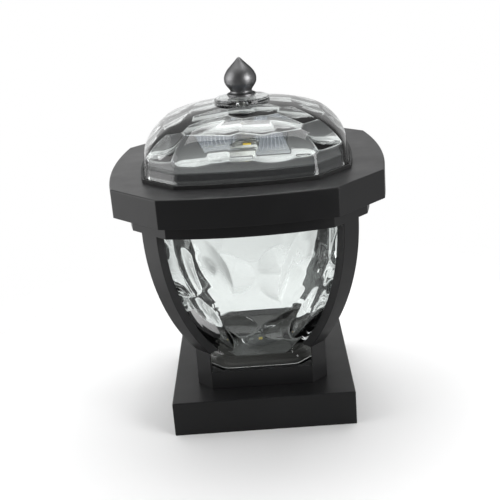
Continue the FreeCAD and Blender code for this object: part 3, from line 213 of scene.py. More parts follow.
def pressed_glass(name, colour, wave_mm, bedded_below=-1.0):
    """Soda-lime glass pressed in an iron mould and fire polished: IOR 1.52.

    It is clear, with long faint waves where the gob flowed and cooled. A foot that was ground
    flat is bedded in dark grey sealant below a height in millimetres. The small lens, moulded
    from clear acrylic, is finished in the same way.
    """
    material, tree, place = new_material(name)
    waves = add(tree, "TexNoise", {"Vector": place},
                {"Scale": 1000.0 / wave_mm, "Detail": 1.5, "Roughness": 0.4})
    bump = add(tree, "Bump", {"Height": waves}, {"Strength": 0.12, "Distance": 0.0004})
    level = add(tree, "SeparateXYZ", {"Vector": place}).outputs["Z"]
    bedded = add(tree, "Math", {0: level}, {1: bedded_below * MM}, operation="LESS_THAN")
    glass = add(tree, "BsdfPrincipled", {"Normal": bump},
                {"Base Color": linear(colour), "Roughness": 0.0, "IOR": 1.52,
                 "Transmission Weight": 1.0})
    sealant = add(tree, "BsdfDiffuse", None, {"Color": linear("#4a4a48")})
    return surfaced(material, add(tree, "MixShader", {0: bedded, 1: glass, 2: sealant}))


def moulded_plastic(name, colour, grain_mm, roughness, ior=1.53):
    """Injection-moulded plastic, such as ABS, from a spark-eroded mould.

    It has a fine even grain, and its gloss and tone vary over 17 mm.
    """
    material, tree, place = new_material(name)
    grain = add(tree, "TexVoronoi", {"Vector": place}, {"Scale": 1000.0 / grain_mm})
    cloud = add(tree, "TexNoise", {"Vector": place}, {"Scale": 60.0, "Detail": 3.0})
    bump = add(tree, "Bump", {"Height": grain}, {"Strength": 0.12, "Distance": 0.0002})
    rough = add(tree, "MapRange", {"Value": cloud},
                {"To Min": roughness - 0.05, "To Max": roughness + 0.05})
    tone = ramp_stops(add(tree, "ValToRGB", {"Fac": cloud}),
                      [(0.3, linear(colour)), (0.75, lit(colour, 1.2))])
    return surfaced(material, add(tree, "BsdfPrincipled",
                                  {"Base Color": tone, "Roughness": rough, "Normal": bump},
                                  {"IOR": ior}))


def vulcanised_rubber(name):
    """Black EPDM: moulded, matt, with a faint bloom of wax in spots of 4.5 mm."""
    material, tree, place = new_material(name)
    bloom = add(tree, "TexNoise", {"Vector": place}, {"Scale": 220.0, "Detail": 5.0})
    tone = ramp_stops(add(tree, "ValToRGB", {"Fac": bloom}),
                      [(0.4, linear("#141414")), (0.75, linear("#212121"))])
    bump = add(tree, "Bump", {"Height": bloom}, {"Strength": 0.15, "Distance": 0.0002})
    return surfaced(material, add(tree, "BsdfPrincipled", {"Base Color": tone, "Normal": bump},
                                  {"Roughness": 0.62, "IOR": 1.5}))


def clear_silicone(name):
    """Translucent silicone rubber, moulded, faintly cloudy over 2.5 mm."""
    material, tree, place = new_material(name)
    cloud = add(tree, "TexNoise", {"Vector": place}, {"Scale": 400.0, "Detail": 3.0})
    rough = add(tree, "MapRange", {"Value": cloud}, {"To Min": 0.18, "To Max": 0.4})
    return surfaced(material, add(tree, "BsdfPrincipled", {"Roughness": rough},
                                  {"Base Color": linear("#eceded"), "IOR": 1.41,
                                   "Transmission Weight": 0.75}))


def zinc_plate(name, colour="#b9bab6"):
    """Bright zinc on mild steel, passivated: metallic, with a faint straw and blue cast.

    The cast and the gloss vary over 3 mm. Tinned copper gets the same look in a paler colour.
    """
    material, tree, place = new_material(name)
    film = add(tree, "TexNoise", {"Vector": place}, {"Scale": 300.0, "Detail": 3.0})
    tone = ramp_stops(add(tree, "ValToRGB", {"Fac": film}),
                      [(0.35, linear("#a9adb3")), (0.55, linear(colour)),
                       (0.75, linear("#c4bfa9"))])
    rough = add(tree, "MapRange", {"Value": film}, {"To Min": 0.22, "To Max": 0.42})
    return surfaced(material, add(tree, "BsdfPrincipled", {"Base Color": tone, "Roughness": rough},
                                  {"Metallic": 1.0}))


FINGER_SHARE = 0.075        # half a finger's drawn width, as a share of the pitch


def coated_silicon(name, colour, pitch_mm):
    """Monocrystalline cell: silicon under a blue nitride coat, with printed silver fingers.

    The fingers run front to back. Real ones are 0.1 mm wide, and they are drawn 0.3 mm wide so
    that they show. The coat's tone varies over 11 mm.
    """
    material, tree, place = new_material(name)
    across = add(tree, "SeparateXYZ", {"Vector": place}).outputs["X"]
    count = add(tree, "Math", {0: across}, {1: 1000.0 / pitch_mm}, operation="MULTIPLY")
    phase = add(tree, "Math", {0: count}, {1: 0.5}, operation="PINGPONG")
    finger = add(tree, "Math", {0: phase}, {1: FINGER_SHARE}, operation="LESS_THAN")
    cloud = add(tree, "TexNoise", {"Vector": place}, {"Scale": 90.0, "Detail": 2.0})
    blue = ramp_stops(add(tree, "ValToRGB", {"Fac": cloud}),
                      [(0.35, linear(colour)), (0.7, lit(colour, 1.25))])
    mixed = add(tree, "Mix", {0: finger, 6: blue}, {7: linear("#8e9298")}, data_type="RGBA")
    return surfaced(material, add(tree, "BsdfPrincipled", {"Base Color": mixed.outputs[2]},
                                  {"Roughness": 0.16, "IOR": 1.55, "Coat Weight": 0.6,
                                   "Coat Roughness": 0.04}))


def phosphor_chip(name, colour):
    """Light chip: yellow phosphor in cast silicone, with a grain of 0.4 mm."""
    material, tree, place = new_material(name)
    grain = add(tree, "TexNoise", {"Vector": place}, {"Scale": 2500.0, "Detail": 2.0})
    tone = ramp_stops(add(tree, "ValToRGB", {"Fac": grain}),
                      [(0.3, lit(colour, 0.8)), (0.7, linear(colour))])
    return surfaced(material, add(tree, "BsdfPrincipled", {"Base Color": tone},
                                  {"Roughness": 0.28, "IOR": 1.41, "Subsurface Weight": 0.2,
                                   "Subsurface Scale": 0.6 * MM}))


def solder_mask(name, colour, track_colour):
    """Circuit board: epoxy solder mask over etched copper tracks that show as lighter lines.

    The tracks are 2 and 4 mm apart.
    """
    material, tree, place = new_material(name)
    tracks = add(tree, "TexBrick", {"Vector": place},
                 {"Scale": 120.0, "Mortar Size": 0.03, "Color1": linear(colour),
                  "Color2": linear(colour), "Mortar": linear(track_colour)}, offset=0.4)
    bump = add(tree, "Bump", {"Height": tracks.outputs["Fac"]},
               {"Strength": 0.3, "Distance": 0.00005})
    return surfaced(material, add(tree, "BsdfPrincipled",
                                  {"Base Color": tracks.outputs["Color"], "Normal": bump},
                                  {"Roughness": 0.35, "IOR": 1.55}))


SLEEVE_END = 24.3           # from the middle of the battery cell to the end of its sleeve


def shrink_sleeve(name, colour):
    """Battery cell's PVC shrink sleeve, wrinkled over 7 mm, with bare nickel-plated ends."""
    material, tree, place = new_material(name)
    along = add(tree, "SeparateXYZ", {"Vector": place}).outputs["X"]
    reach = add(tree, "Math", {0: along}, operation="ABSOLUTE")
    bare = add(tree, "Math", {0: reach}, {1: SLEEVE_END * MM}, operation="GREATER_THAN")
    wrinkle = add(tree, "TexNoise", {"Vector": place}, {"Scale": 150.0, "Detail": 2.0})
    bump = add(tree, "Bump", {"Height": wrinkle}, {"Strength": 0.1, "Distance": 0.0003})
    tone = add(tree, "Mix", {0: bare}, {6: linear(colour), 7: linear("#b8b6ae")},
               data_type="RGBA")
    return surfaced(material, add(tree, "BsdfPrincipled",
                                  {"Base Color": tone.outputs[2], "Metallic": bare,
                                   "Normal": bump},
                                  {"Roughness": 0.3, "IOR": 1.53}))


# ---- meshes

def make_mesh(name, points, faces, smooth=True):
    """Object from points in millimetres."""
    mesh = bpy.data.meshes.new(name)
    mesh.from_pydata((np.asarray(points) * MM).tolist(), [], faces)
    mesh.validate()
    mesh.update()
    mesh.polygons.foreach_set("use_smooth", [smooth] * len(mesh.polygons))
    piece = bpy.data.objects.new(name, mesh)
    bpy.context.scene.collection.objects.link(piece)
    return piece


def ring_faces(rings, columns, closed=False, capped=False):
    """Quads between consecutive rings of equal column count, with a flat cap at each end if asked."""
    faces = []
    for ring in range(rings if closed else rings - 1):
        low, high = ring * columns, (ring + 1) % rings * columns
        for column in range(columns):
            following = (column + 1) % columns
            faces.append((low + column, low + following, high + following, high + column))
    if capped:
        faces.append(tuple(range(columns))[::-1])
        faces.append(tuple(range((rings - 1) * columns, rings * columns)))
    return faces


def soft_least(values, soft):
    """Smooth minimum along the first axis, rounded over about soft."""
    least = values.min(axis=0)
    return least - soft * np.log(np.exp(-(values - least) / soft).sum(axis=0))


def plan_reach(angle, flat, near, bow, soft):
    """Reach of a square with cut corners and bowed sides at angles in radians, edges softened."""
    turn = (angle + math.pi / 4) % (math.pi / 2) - math.pi / 4
    behind = math.sqrt(bow ** 2 - near ** 2) - flat
    side = np.sqrt(bow ** 2 - (behind * np.sin(turn)) ** 2) - behind * np.cos(turn)
    cut = (flat + near) / (np.cos(turn) + np.abs(np.sin(turn)))
    return soft_least(np.stack([side, cut]), soft)


def unit(vector):
    return vector / np.linalg.norm(vector)


def ring_points(angles, reach, height):
    """Points round the axis at a reach and height, either of which may be a single number."""
    reach = np.broadcast_to(reach, angles.shape)
    height = np.broadcast_to(height, angles.shape)
    return np.stack([reach * np.cos(angles), reach * np.sin(angles), height], axis=1)


def surface_ways(touch, angle, level, turn, rise, *shape):
    """Unit vectors along the surface that touch gives points of, sideways and upwards."""
    return (unit(touch(angle + turn, level, *shape) - touch(angle - turn, level, *shape)),
            unit(touch(angle, level + rise, *shape) - touch(angle, level - rise, *shape)))


LEAST_FACING = 0.1          # cosine at which a plane is taken to be seen edge on
SWELL_LIMIT = 60.0          # how far from its middle a facet goes on falling back
OUT_OF_REACH = 1e3


def plane_reach(origin, way, point, normal, missed):
    """Reach along each way to a plane, or missed, and how far from the point it is met."""
    facing = way @ normal
    reach = np.where(facing > LEAST_FACING,
                     (point - origin) @ normal / np.maximum(facing, LEAST_FACING), missed)
    return reach, np.linalg.norm(origin + way * reach[:, None] - point, axis=1)


def swollen_reach(origin, way, point, normal, swell):
    """Reach along each way to a facet: a plane that falls back a little round its middle."""
    reach, aside = plane_reach(origin, way, point, normal, OUT_OF_REACH)
    return reach + np.minimum(aside, SWELL_LIMIT) ** 2 / (2 * swell)


def hollow_reach(origin, way, point, normal, swell):
    """Reach along each way to a hollow, which comes back inwards round its middle."""
    reach, aside = plane_reach(origin, way, point, normal, 0.0)
    return reach - aside ** 2 / (2 * swell)


def finish_piece(piece, material, replaced):
    """Gives a piece its material, rides it on the light and lets it stand for its CAD node."""
    piece.data.materials.clear()
    piece.data.materials.append(material)
    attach(piece, "light")
    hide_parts(*replaced)


def paint(nodes, material):
    """Gives CAD nodes a material."""
    for name in nodes:
        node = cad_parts[name]
        for slot in node.material_slots:
            slot.material = material


# ---- glass dome

DOME_FLAT, DOME_LEG, DOME_BOW = 78.6, 24.8, 286.0
DOME_FOOT, DOME_SHOULDER, DOME_RISE = 212.9, 222.0, 38.0
DOME_DRAFT, DOME_SQUARENESS = 1.4, 2.2
CROWN_LEG, CROWN_BOW, BLEND_POWER = 0.55, 1.1, 1.5
DOME_SOFT, CROWN_SOFT = 0.7, 3.0        # rounding of the upright edges, and what the crown adds
SHARP = 1e-6                            # rounding that leaves an edge sharp
LAST_STEP = 74.0                        # degrees up the quarter at which the pad begins
PAD_RADIUS, PAD_TOP, BORE_RADIUS = 22.2, 262.1, 3.3
CEILING, RAY_LEVEL = 255.0, 217.0       # top of the inside, and where its rays leave the axis
CUT_SHARE = 0.41                        # how far a millimetre of wall moves a cut corner's end
# reach and height up the pad's side, across its top and down its bore
PAD_OUTLINE = ((PAD_RADIUS + 0.7, 258.95), (PAD_RADIUS + 0.15, 259.2), (PAD_RADIUS, 259.6),
               (PAD_RADIUS, 261.2), (PAD_RADIUS - 0.3, 261.8), (PAD_RADIUS - 0.9, PAD_TOP),
               (PAD_RADIUS - 4, PAD_TOP), (9.0, PAD_TOP), (BORE_RADIUS, PAD_TOP),
               (BORE_RADIUS, 258.0), (BORE_RADIUS, CEILING))
# facets pressed into the inside: degrees up the quarter, how many, and turn of the first; in
# the rows here and of the bowl, sines and cosines of the index make each place a little uneven
FACET_ROWS = ((24, 22, 8.2), (50, 17, 5.3), (68, 10, 18))
FACET_WANDER, FACET_DEPTH = 3.0, 1.9
FACET_TWIST, FACET_NOD = 2.0, 1.5       # degrees by which a facet stands askew
FACET_SWELL = 90.0                      # radius of the slight swell of each facet


def dome_section(angles, step, flat, bow, rise, soft):
    """Reach and height of the dome's smooth form at a step in degrees up its quarter."""
    turn = np.radians(step)
    power = 2 / DOME_SQUARENESS
    share = np.cos(turn) ** power
    blend = (1 - share) ** BLEND_POWER
    leg = DOME_LEG * flat / DOME_FLAT * (1 - blend) + CROWN_LEG * flat * blend
    bend = bow * share * (1 - blend) + CROWN_BOW * flat * share * blend
    reach = plan_reach(angles, flat * share, (flat - leg) * share, bend, soft)
    return reach, DOME_SHOULDER + rise * np.sin(turn) ** power


def facet_touch(angle, step, wall):
    """Point, at an angle and a step in degrees, of the smooth surface that a facet touches."""
    inwards = DOME_DRAFT + wall + FACET_DEPTH
    flat, bow = DOME_FLAT - inwards, DOME_BOW - inwards
    leg = DOME_LEG - (2 - math.sqrt(2)) * inwards
    power = 2 / DOME_SQUARENESS
    share = math.cos(math.radians(step)) ** power
    blend = (1 - share) ** BLEND_POWER
    turn = math.radians(angle)
    sharp = plan_reach(turn, flat, flat - leg, bow, SHARP)
    reach = share * (sharp * (1 - blend) + CROWN_BOW * flat * blend)
    rise = (DOME_RISE - wall) * math.sin(math.radians(step)) ** power
    return np.array([reach * math.cos(turn), reach * math.sin(turn), DOME_SHOULDER + rise])


def dome_facets(wall):
    """Touching point and outward normal of every facet."""
    facets = []
    for step, count, first in FACET_ROWS:
        for index in range(count):
            angle = first + 360 * index / count + FACET_WANDER * math.sin(2.4 * index + step)
            tilt = step + FACET_WANDER * math.cos(1.7 * index + step)
            across, upwards = surface_ways(facet_touch, angle, tilt, 0.5, 0.5, wall)
            twist = FACET_TWIST * math.sin(3.3 * index + 0.7 * step)
            nod = FACET_NOD * math.cos(2.9 * index + step)
            normal = (np.cross(across, upwards) + math.tan(math.radians(twist)) * across
                      + math.tan(math.radians(nod)) * upwards)
            facets.append((facet_touch(angle, tilt, wall), unit(normal)))
    return facets


def dome_mesh(wall, ridge, columns):
    """Closed shell: smooth outside with a round pad, faceted inside."""
    angles = np.linspace(0, 2 * math.pi, columns, endpoint=False)
    foot = plan_reach(angles, DOME_FLAT, DOME_FLAT - DOME_LEG, DOME_BOW, DOME_SOFT)
    form = DOME_FLAT - DOME_DRAFT, DOME_BOW, DOME_RISE
    shoulder = dome_section(angles, 0.0, *form, DOME_SOFT)[0]
    rings = [ring_points(angles, foot - 0.7, DOME_FOOT),
             ring_points(angles, foot - 0.2, DOME_FOOT + 0.2)]
    for share in np.linspace(0.07, 1, 8):
        height = DOME_FOOT + share * (DOME_SHOULDER - DOME_FOOT)
        rings.append(ring_points(angles, foot + share * (shoulder - foot), height))
    for step in np.linspace(1.5, LAST_STEP, 52):
        soft = DOME_SOFT + CROWN_SOFT * (step / LAST_STEP) ** 2
        rings.append(ring_points(angles, *dome_section(angles, step, *form, soft)))
    rings += [ring_points(angles, reach, height) for reach, height in PAD_OUTLINE]

    # the inside is met by rays from the axis, which stand closer together lower down
    origin = np.array([0, 0, RAY_LEVEL])
    tilts = np.radians(np.concatenate([np.linspace(84.5, 60, 30), np.linspace(59.2, 0, 104)]))
    inner = plan_reach(angles, DOME_FLAT - wall, DOME_FLAT - DOME_LEG - CUT_SHARE * wall,
                       DOME_BOW - wall, DOME_SOFT)
    facets = dome_facets(wall)
    for tilt in tilts:
        way = np.stack([np.cos(tilt) * np.cos(angles), np.cos(tilt) * np.sin(angles),
                        np.full(columns, math.sin(tilt))], axis=1)
        ceiling = (CEILING - RAY_LEVEL) / max(way[0, 2], 1e-6)
        reaches = [inner / np.cos(tilt), np.full(columns, ceiling)]
        reaches += [swollen_reach(origin, way, point, normal, FACET_SWELL)
                    for point, normal in facets]
        reach = soft_least(np.stack(reaches), ridge)
        rings.append(origin + way * reach[:, None])
    rings.append(ring_points(angles, inner, DOME_FOOT + 0.4))
    rings.append(ring_points(angles, inner + 0.4, DOME_FOOT))
    return np.concatenate(rings), ring_faces(len(rings), columns, closed=True)


class POSTLIGHT_OT_glass_dome(bpy.types.Operator):
    """Make the dome: smooth outside, pressed facets inside"""

    bl_idname = "postlight.glass_dome"
    bl_label = "Glass dome"

    def execute(self, context):
        settings = context.scene.postlight_glass
        points, faces = dome_mesh(in_mm(settings.wall), in_mm(settings.ridge), settings.columns)
        piece = make_mesh("dome_of_pressed_glass", points, faces)
        finish_piece(piece, pressed_glass("soda_lime_dome", settings.tint, 30.0),
                     ["glass_dome"])
        piece.visible_shadow = False
        return {"FINISHED"}


# ---- glass bowl

ARC_REACH, ARC_LEVEL, ARC_RADIUS = -70.66, 176.6, 179.6
NECK_LEG, BOWL_BOW = 12.4, 390.0
FLAT_SETBACK, CUT_SETBACK = 4.0, 7.4    # of the bowl's sides and cut corners from the ribs' arc
BOWL_WALL, OUTER_SOFT, INNER_SOFT = 4.5, 1.6, 0.4
BOWL_TOP, FOOT_BOTTOM, FOOT_TOP, BOWL_FLOOR = 186.9, 44.8, 53.8, 51.8
FOOT_FLAT, FOOT_LEG, FOOT_BOW, FOOT_SOFT = 49.4, 19.2, 2000.0, 1.2
# reach and height above the foot, down the round hollow under it
FOOT_HOLLOW = ((15.0, 2.2), (16.6, 1.8), (17.0, 0.3), (17.6, 0.0))
# how far inside the foot's plan and how high above its bottom, out to its rim and up
FOOT_RIM = ((20.0, 0.0), (8.0, 0.0), (1.6, 0.0), (0.5, 0.4), (0.0, 1.4), (0.0, 4.0), (0.0, 7.2),
            (0.6, 8.3), (1.8, 8.9))
# shares of the inside's lowest ring and heights above the floor, in to the middle
FLOOR_OUTLINE = ((0.985, 1.0), (0.95, 0.4), (0.88, 0.0), (0.6, 0.0), (0.3, 0.0))


def rib_reach(offset, height):
    """Reach, at a height, of the ribs' arc moved inwards by an offset."""
    return ARC_REACH + math.sqrt((ARC_RADIUS - offset) ** 2 - (height - ARC_LEVEL) ** 2)


def bowl_reach(angles, height, wall, soft):
    """Reach of the bowl's outline at a height, wall inside its face."""
    flat = (rib_reach(FLAT_SETBACK + wall, height) + NECK_LEG / math.sqrt(2)) / math.sqrt(2)
    leg = 2 * flat - math.sqrt(2) * rib_reach(CUT_SETBACK + wall, height)
    return plan_reach(angles, flat, flat - leg, BOWL_BOW - wall, soft)


# cells pressed into the bowl's inside: height, angles from the middle of each side, how far the
# plan is rounded there, and depth; the lowest row runs all round and stands proud of the wall,
# and the others are hollows
CELL_ROWS = ((85.0, None, 0.36, 1.1), (114.0, (-29.0, 30.0), 0.10, -1.6),
             (149.0, (-29.0, 31.0), 0.06, -1.7))
RING_CELLS, CELL_WANDER, CELL_SWELL, HOLLOW_SWELL = 20, 2.6, 60.0, 56.0
CELL_LEAN, CELL_NOD = 0.22, 0.12        # slopes by which a proud cell stands askew


def cell_touch(angle, height, rounding, depth):
    """Point that a cell's plane goes through."""
    around = np.array([angle, math.pi / 2])
    corner, middle = bowl_reach(around, height, BOWL_WALL, INNER_SOFT)
    reach = corner * (1 - rounding) + middle * rounding - depth
    return np.array([reach * math.cos(angle), reach * math.sin(angle), height])


def bowl_cells():
    """Touching point and outward normal of every proud cell, and of every hollow."""
    cells, hollows = [], []
    for height, offsets, rounding, depth in CELL_ROWS:
        if offsets is None:
            turns = [360 * index / RING_CELLS + 9.0 + CELL_WANDER * math.sin(2.1 * index)
                     for index in range(RING_CELLS)]
        else:
            turns = [90 * side + offset for side in range(4) for offset in offsets]
        for index, turn in enumerate(turns):
            angle = math.radians(turn)
            level = height + 1.5 * CELL_WANDER * math.cos(1.9 * index + height)
            across, upwards = surface_ways(cell_touch, angle, level, 0.01, 1, rounding, depth)
            normal = unit(np.cross(across, upwards))
            if depth > 0:
                normal = unit(normal + CELL_LEAN * math.sin(2.7 * index) * across
                              + CELL_NOD * math.cos(3.1 * index) * upwards)
            kept = cells if depth > 0 else hollows
            kept.append((cell_touch(angle, level, rounding, depth), normal))
    return cells, hollows


def pressed_reach(angles, height, pressed, ridge):
    """Reach of the bowl's inside at a height, with its cells and hollows."""
    cells, hollows = pressed
    axis = np.array([0, 0, height])
    way = np.stack([np.cos(angles), np.sin(angles), np.zeros_like(angles)], axis=1)
    reaches = [bowl_reach(angles, height, BOWL_WALL, INNER_SOFT)]
    reaches += [swollen_reach(axis, way, point, normal, CELL_SWELL) for point, normal in cells]
    lows = [-soft_least(np.stack(reaches), ridge)]
    lows += [-hollow_reach(axis, way, point, normal, HOLLOW_SWELL) for point, normal in hollows]
    return -soft_least(np.stack(lows), ridge)


def bowl_mesh(columns, ridge):
    """Closed shell: foot, curved outside, and an inside with cells and hollows pressed into it."""
    angles = np.linspace(0, 2 * math.pi, columns, endpoint=False)
    foot = plan_reach(angles, FOOT_FLAT, FOOT_FLAT - FOOT_LEG, FOOT_BOW, FOOT_SOFT)
    rings = [ring_points(angles, reach, FOOT_BOTTOM + height) for reach, height in FOOT_HOLLOW]
    rings += [ring_points(angles, foot - inwards, FOOT_BOTTOM + height)
              for inwards, height in FOOT_RIM]
    low, high = FOOT_TOP + 0.4, BOWL_TOP - 0.8
    for height in low + (high - low) * np.linspace(0, 1, 64) ** 1.25:
        rings.append(ring_points(angles, bowl_reach(angles, height, 0.0, OUTER_SOFT), height))
    for inwards in (0.8, 3.8):
        rings.append(ring_points(angles, bowl_reach(angles, BOWL_TOP, inwards, OUTER_SOFT),
                                 BOWL_TOP))
    pressed = bowl_cells()
    for height in np.linspace(BOWL_TOP - 0.6, BOWL_FLOOR + 2.0, 150):
        lowest = pressed_reach(angles, height, pressed, ridge)
        rings.append(ring_points(angles, lowest, height))
    rings += [ring_points(angles, lowest * share, BOWL_FLOOR + height)
              for share, height in FLOOR_OUTLINE]
    return np.concatenate(rings), ring_faces(len(rings), columns, capped=True)


class POSTLIGHT_OT_glass_bowl(bpy.types.Operator):
    """Make the bowl that stands behind the ribs"""

    bl_idname = "postlight.glass_bowl"
    bl_label = "Glass bowl"

    def execute(self, context):
        settings = context.scene.postlight_glass
        points, faces = bowl_mesh(settings.columns, in_mm(settings.ridge))
        piece = make_mesh("bowl_of_pressed_glass", points, faces)
        glass = pressed_glass("soda_lime_bowl", settings.tint, 18.0, FOOT_BOTTOM + 0.3)
        finish_piece(piece, glass, ["glass_bowl"])
        piece.visible_shadow = False
        return {"FINISHED"}


# ---- painted metal

# turned outline of the finial: reach and height above its foot
FINIAL_OUTLINE = ((0.15, 29.95), (0.6, 29.86), (1.15, 29.5), (2.35, 28.3), (4.5, 26.0),
                  (6.8, 23.7), (8.95, 21.5), (10.8, 19.2), (12.1, 16.9), (12.8, 14.9),
                  (12.98, 13.1), (12.6, 10.1), (11.3, 7.8), (9.7, 5.6), (8.75, 4.0), (8.8, 2.9),
                  (9.7, 2.0), (11.0, 1.55), (11.42, 1.25), (11.45, 0.4), (11.1, 0.02), (8.0, 0.0),
                  (3.3, 0.0))
FINIAL_FOOT, STUD_END, STUD_RADIUS, THREAD_PITCH, THREAD_DEPTH = 263.7, 248.0, 3.0, 1.0, 0.3
FINIAL_COLUMNS, CURVE_STEPS, THREAD_RINGS, LEAST_REACH = 128, 5, 8, 0.1


def smooth_outline(outline):
    """Outline with more points, on a curve through the given ones."""
    points = np.array([outline[0], *outline, outline[-1]])
    shares = np.linspace(0, 1, CURVE_STEPS, endpoint=False)[:, None]
    curve = []
    for first, second, third, fourth in zip(points, points[1:], points[2:], points[3:]):
        curve.append(second + 0.5 * shares * (third - first + shares * (
            2 * first - 5 * second + 4 * third - fourth
            + shares * (3 * second - first - 3 * third + fourth))))
    return np.concatenate(curve + [points[-1:]])


def stud_rings(angles, top, bottom):
    """Rings of the stud's thread."""
    rings = []
    for height in np.arange(top, bottom, -THREAD_PITCH / THREAD_RINGS):
        phase = height / THREAD_PITCH - angles / (2 * math.pi)
        reach = STUD_RADIUS - THREAD_DEPTH * (0.5 - 0.5 * np.cos(2 * math.pi * phase))
        rings.append(ring_points(angles, reach, height))
    return rings


def finial_mesh():
    """Turned knob in one piece with its threaded stud."""
    angles = np.linspace(0, 2 * math.pi, FINIAL_COLUMNS, endpoint=False)
    rings = [ring_points(angles, max(reach, LEAST_REACH), FINIAL_FOOT + rise)
             for reach, rise in smooth_outline(FINIAL_OUTLINE)]
    rings += stud_rings(angles, FINIAL_FOOT - 0.3, STUD_END + 0.4)
    rings.append(ring_points(angles, STUD_RADIUS - 0.5, STUD_END))
    return np.concatenate(rings), ring_faces(len(rings), FINIAL_COLUMNS, capped=True)


class POSTLIGHT_OT_metalwork(bpy.types.Operator):
    """Coat the base, neck, cage, rim and finial"""

    bl_idname = "postlight.metalwork"
    bl_label = "Metalwork"

    def execute(self, context):
        settings = context.scene.postlight_metal
        coat = powder_coat("satin_powder_coat", settings.coat, settings.roughness)
        paint(["base_cap", "neck_ring", "cage_frame", "head_rim", "head_floor"], coat)
        knob = make_mesh("turned_finial", *finial_mesh())
        finish_piece(knob, lacquered_steel("lacquered_steel", settings.finial_coat, 0.38,
                                           FINIAL_FOOT - 0.2), ["finial"])
        return {"FINISHED"}


# ---- solar deck and lights

class POSTLIGHT_OT_solar_deck(bpy.types.Operator):
    """Finish the tray, panel, cells and both lights"""

    bl_idname = "postlight.solar_deck"
    bl_label = "Solar deck and lights"

    def execute(self, context):
        settings = context.scene.postlight_light
        paint(["solar_tray"], moulded_plastic("black_abs", "#2c2c2d", 0.5, 0.34, 1.46))
        paint(["led_plate"], moulded_plastic("plate_abs", "#0e0e0f", 0.5, 0.55))
        paint(["solar_panel"], moulded_plastic("panel_laminate", "#23272c", 1.2, 0.16, 1.5))
        paint(["solar_cells"], coated_silicon("coated_silicon", settings.cell_blue,
                                              in_mm(settings.finger_pitch)))
        paint(["cell_busbars"], zinc_plate("tinned_copper", "#d6d7d4"))
        paint(["upper_led", "lower_led"], phosphor_chip("phosphor_chip", settings.phosphor))
        paint(["upper_led_board", "lower_led_board"],
              solder_mask("black_solder_mask", "#151617", "#2a2b2c"))
        paint(["light_lens"], pressed_glass("moulded_acrylic", "#fbfbf6", 12.0))
        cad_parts["light_lens"].visible_shadow = False
        return {"FINISHED"}


# ---- screws

SCREW_NODES = ("frame_screws", "head_screws", "tray_screws", "box_screws", "cover_screws",
               "board_screws", "lower_led_screws")
SCREW_COLUMNS = 32
# rings of the head's face from its middle outwards, as shares of the head's radius
HEAD_SHARES = (0.1, 0.18, 0.26, 0.34, 0.42, 0.5, 0.56, 0.62, 0.72, 0.82, 0.9, 0.96, 1.0)
CROSS_REACH, ARM_HALF = 0.58, 0.15          # of the cross recess, as shares of the head's radius
CROSS_DEPTH, HEAD_DOME = 0.62, 0.42         # shares of the head's thickness
SCREW_PITCH, SCREW_THREAD = 0.42, 0.2       # pitch and thread's depth, as shares of the radius


def solid_points(node):
    """Points of each separate solid of a CAD node, in millimetres."""
    mesh = bmesh.new()
    mesh.from_mesh(node.data)
    bmesh.ops.remove_doubles(mesh, verts=mesh.verts, dist=1e-6)
    waiting, solids = set(mesh.verts), []
    while waiting:
        front = [waiting.pop()]
        found = []
        while front:
            vertex = front.pop()
            found.append(node.matrix_world @ vertex.co / MM)
            for edge in vertex.link_edges:
                other = edge.other_vert(vertex)
                if other in waiting:
                    waiting.remove(other)
                    front.append(other)
        solids.append(np.array(found))
    mesh.free()
    return sorted(solids, key=lambda points: tuple(points.mean(axis=0).round(1)))


def screw_mesh(points, turn):
    """Pan-head screw with a cross recess and a rolled thread, in the room of a plain one."""
    low, high = points.min(axis=0), points.max(axis=0)
    axis = (low + high) / 2
    reach = np.hypot(points[:, 0] - axis[0], points[:, 1] - axis[1])
    head = reach.max()
    edge = points[reach > 0.98 * head, 2]
    head_is_low = edge.min() - low[2] < high[2] - edge.max()
    at_tip = points[:, 2] > high[2] - 0.1 if head_is_low else points[:, 2] < low[2] + 0.1
    shank = reach[at_tip].max()
    length, thick = high[2] - low[2], edge.max() - edge.min()
    pitch = SCREW_PITCH * shank
    angles = np.linspace(0, 2 * math.pi, SCREW_COLUMNS, endpoint=False)
    aside = np.minimum(np.abs(np.cos(angles + turn)), np.abs(np.sin(angles + turn)))
    rings = []
    for share in HEAD_SHARES:
        # the cross gets shallower towards its ends
        depth = CROSS_DEPTH * thick * np.clip(1 - share / CROSS_REACH, 0, 1) ** 0.5
        dome = HEAD_DOME * thick * share ** 4
        rings.append(ring_points(angles, share * head,
                                 depth * (share * head * aside < ARM_HALF * head) + dome))
    # the head's side and its eased lower edge, the thread in six rings to each turn, and the tip
    for radius, share in ((head, 0.72), (head, 0.97), (0.96 * head, 1), (shank, 1)):
        rings.append(ring_points(angles, radius, share * thick))
    for depth in np.arange(thick + 0.5 * pitch, length - 0.5 * shank, pitch / 6):
        phase = 2 * math.pi * depth / pitch - angles
        crest = 0.5 + 0.5 * np.cos(phase)
        rings.append(ring_points(angles, shank * (1 - SCREW_THREAD + SCREW_THREAD * crest ** 1.6),
                                 depth))
    rings.append(ring_points(angles, 0.5 * shank, length - 0.1 * shank))
    rings.append(ring_points(angles, 0.2 * shank, length))
    body = np.concatenate(rings)
    body[:, 2] = low[2] + body[:, 2] if head_is_low else high[2] - body[:, 2]
    if not head_is_low:
        body[:, 1] *= -1
    return body + [axis[0], axis[1], 0], ring_faces(len(rings), SCREW_COLUMNS, capped=True)


